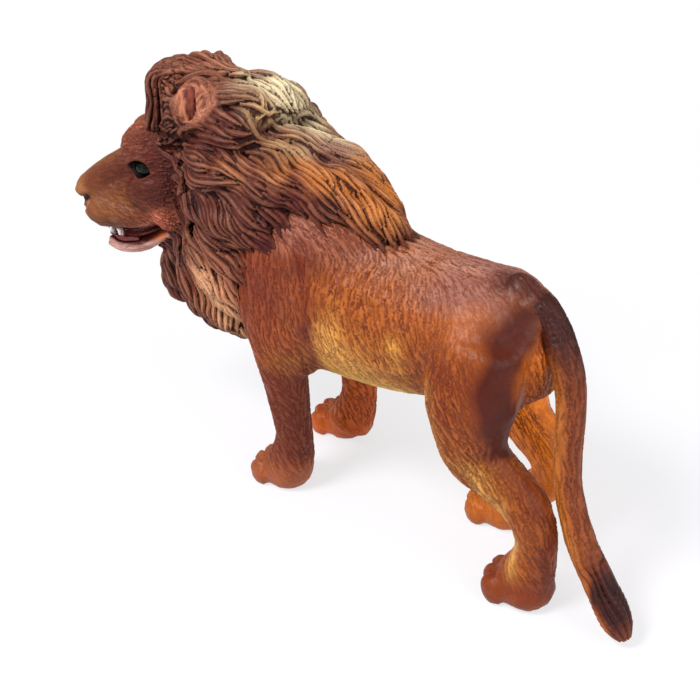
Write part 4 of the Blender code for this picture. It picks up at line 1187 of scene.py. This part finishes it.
# TEETH
# Each row of teeth is moulded with its gum and glued along the jaw. The teeth are painted glossy white,
# with a little yellow at their feet, and the gums dull pink.
for name, point in (("upper_teeth", -1), ("lower_teeth", 1)):
    teeth = skin_over(name + "_enamel", name, 0.02, 0.10, 3)
    points, facing = points_of(teeth)
    local = to_face(points)
    ridges = wavy(points * (1, 1, 0.3), 0.35, 54) * 0.02
    put_points(teeth, points + facing * ridges[:, None])
    up = local[:, 2] * point
    up = (up - up.min()) / np.ptp(up)
    paint = base_coat(points, (104, 48, 44))
    gaps = np.exp(-((np.cos(math.pi * local[:, 0] / 0.8) / 0.3) ** 2)) * (np.abs(local[:, 0]) < 1.9)
    white = ramp(local[:, 1], -20.2, -1.2) * (1 - 0.8 * gaps)
    paint = washed(paint, (204, 184, 156), ramp(up, 0.46, 0.05) * white)
    paint = washed(paint, (240, 238, 240), ramp(up, 0.52, 0.12) * white)
    paint = paint * (1 + 0.04 * wavy(points, 0.8, 55))[:, None]
    finished(teeth, paint, 1 - up, paint_material(name + "_paint", 0.24, 0.5, 0.3, 0.15), "teeth", name)

# EYES
# Each eye is a small bulge painted very dark, with a faint green-gold ring round a black pupil, and coated
# with clear gloss. It fills its almond of lids.
BALL_SIZE = (2.45, 1.95, 1.55)
for side, name in ((1, "left_eye"), (-1, "right_eye")):
    bm = bmesh.new()
    bmesh.ops.create_uvsphere(bm, u_segments=64, v_segments=40, radius=1)
    rows = np.array([vert.co for vert in bm.verts])
    mirror = np.array((side, 1, 1))
    middle = EYE_PLACE - EYE_OUT * 1.45
    ball = middle + rows[:, :1] * EYE_LONG * BALL_SIZE[0] + rows[:, 1:2] * EYE_HIGH * BALL_SIZE[1]
    ball = ball + rows[:, 2:] * EYE_OUT * BALL_SIZE[2]
    for vert, place in zip(bm.verts, from_face(ball * mirror)):
        vert.co = Vector(place) * MM
    bmesh.ops.recalc_face_normals(bm, faces=bm.faces)
    eye = modelled(name + "_ball", bm)
    ring = np.hypot(rows[:, 0] * BALL_SIZE[0] + 0.35, rows[:, 1] * BALL_SIZE[1] - 0.1)
    streaks = wavy(rows * (4, 4, 0), 1, 56)
    paint = base_coat(rows, (14, 13, 12))
    iris = np.clip(1.25 - np.abs(ring - 0.80) / 0.34, 0, 1)
    paint = washed(paint, (46, 54, 36), iris * (0.65 + 0.3 * streaks))
    paint = washed(paint, (8, 8, 8), ramp(ring, 0.52, -0.1))
    eye_paint = paint_material(name + "_paint", 0.16, 0.22, 0.5, 0.05)
    finished(eye, paint, np.zeros(len(rows)), eye_paint, "eye", name)

# FLOOR, LIGHT AND CAMERA
# A plain pale floor that runs on past the view, a soft light from above with a weaker one from behind, and
# the camera where the photographer stood: to the lion's left, behind it and above it.
bm = bmesh.new()
bmesh.ops.create_grid(bm, x_segments=1, y_segments=1, size=3)
floor = modelled("floor", bm)
floor_paint = bpy.data.materials.new("floor_paint")
floor_paint.use_nodes = True
tree = floor_paint.node_tree
matt = {"Base Color": (0.84, 0.81, 0.89, 1), "Roughness": 1, "Specular IOR Level": 0}
matt = fed(tree.nodes["Principled BSDF"], matt).outputs[0]
glow = shader_node(tree, "Emission", {"Color": (1, 1, 1, 1), "Strength": 1.0}).outputs[0]
ray = shader_node(tree, "LightPath", {}).outputs
seen = {0: ray["Is Camera Ray"], 1: ray["Is Glossy Ray"]}
seen = shader_node(tree, "Math", seen, operation="MAXIMUM").outputs[0]
seen = {0: seen, 1: ray["Is Transmission Ray"]}
seen = shader_node(tree, "Math", seen, operation="MAXIMUM").outputs[0]
where = shader_node(tree, "TexCoord", {}).outputs["Object"]
far = shader_node(tree, "VectorMath", {0: where}, operation="LENGTH").outputs["Value"]
fade = {"Value": far, "From Min": 70 * MM, "From Max": 125 * MM, "To Min": 0.70, "To Max": 1}
fade = shader_node(tree, "MapRange", fade).outputs["Result"]
lifted = shader_node(tree, "Math", {0: seen, 1: fade}, operation="MULTIPLY").outputs[0]
whiter = shader_node(tree, "MixShader", {"Fac": lifted, 1: matt, 2: glow}).outputs[0]
fed(tree.nodes["Material Output"], {"Surface": whiter})
floor.data.materials.append(floor_paint)

world = bpy.data.worlds.new("studio")
bpy.context.scene.world = world
world.use_nodes = True
tree = world.node_tree
soft = fed(tree.nodes["Background"], {"Color": (1, 1, 1, 1), "Strength": 0.55}).outputs[0]
white = shader_node(tree, "Background", {"Color": (1, 1, 1, 1), "Strength": 1}).outputs[0]
ray = shader_node(tree, "LightPath", {}).outputs
backdrop = shader_node(tree, "MixShader", {"Fac": ray["Is Camera Ray"], 1: soft, 2: white}).outputs[0]
fed(tree.nodes["World Output"], {"Surface": backdrop})


def lamp(name, place, aim, width, watts):
    data = bpy.data.lights.new(name, "AREA")
    data.shape = "DISK"
    data.size = width * MM
    data.energy = watts
    obj = placed(name, data)
    obj.location = Vector(place) * MM
    obj.rotation_euler = (Vector(place) - Vector(aim)).to_track_quat("Z", "Y").to_euler()


lamp("key", (260, -60, 420), (0, 0, 50), 160, 2.1)
lamp("fill", (60, 420, 260), (0, 0, 50), 260, 0.8)

AROUND, ABOVE, TILT = math.radians(133), math.radians(30.5), math.radians(-4)
AIM = Vector((12.6, 6.8, 46)) * MM
DISTANCE = 210 * MM
back = Vector((math.sin(AROUND) * math.cos(ABOVE), -math.cos(AROUND) * math.cos(ABOVE), math.sin(ABOVE)))
level = Vector((math.cos(AROUND), math.sin(AROUND), 0))
rise = back.cross(level)
right = level * math.cos(TILT) + rise * math.sin(TILT)
upward = rise * math.cos(TILT) - level * math.sin(TILT)
camera_data = bpy.data.cameras.new("camera")
camera_data.sensor_width = 36
camera_data.lens = 54.9
camera_data.clip_start = 0.01
camera = placed("camera", camera_data)
turned = Matrix((right, upward, back)).transposed().to_4x4()
camera.matrix_world = Matrix.Translation(AIM + back * DISTANCE) @ turned
bpy.context.scene.camera = camera
bpy.context.scene.view_settings.view_transform = "Standard"
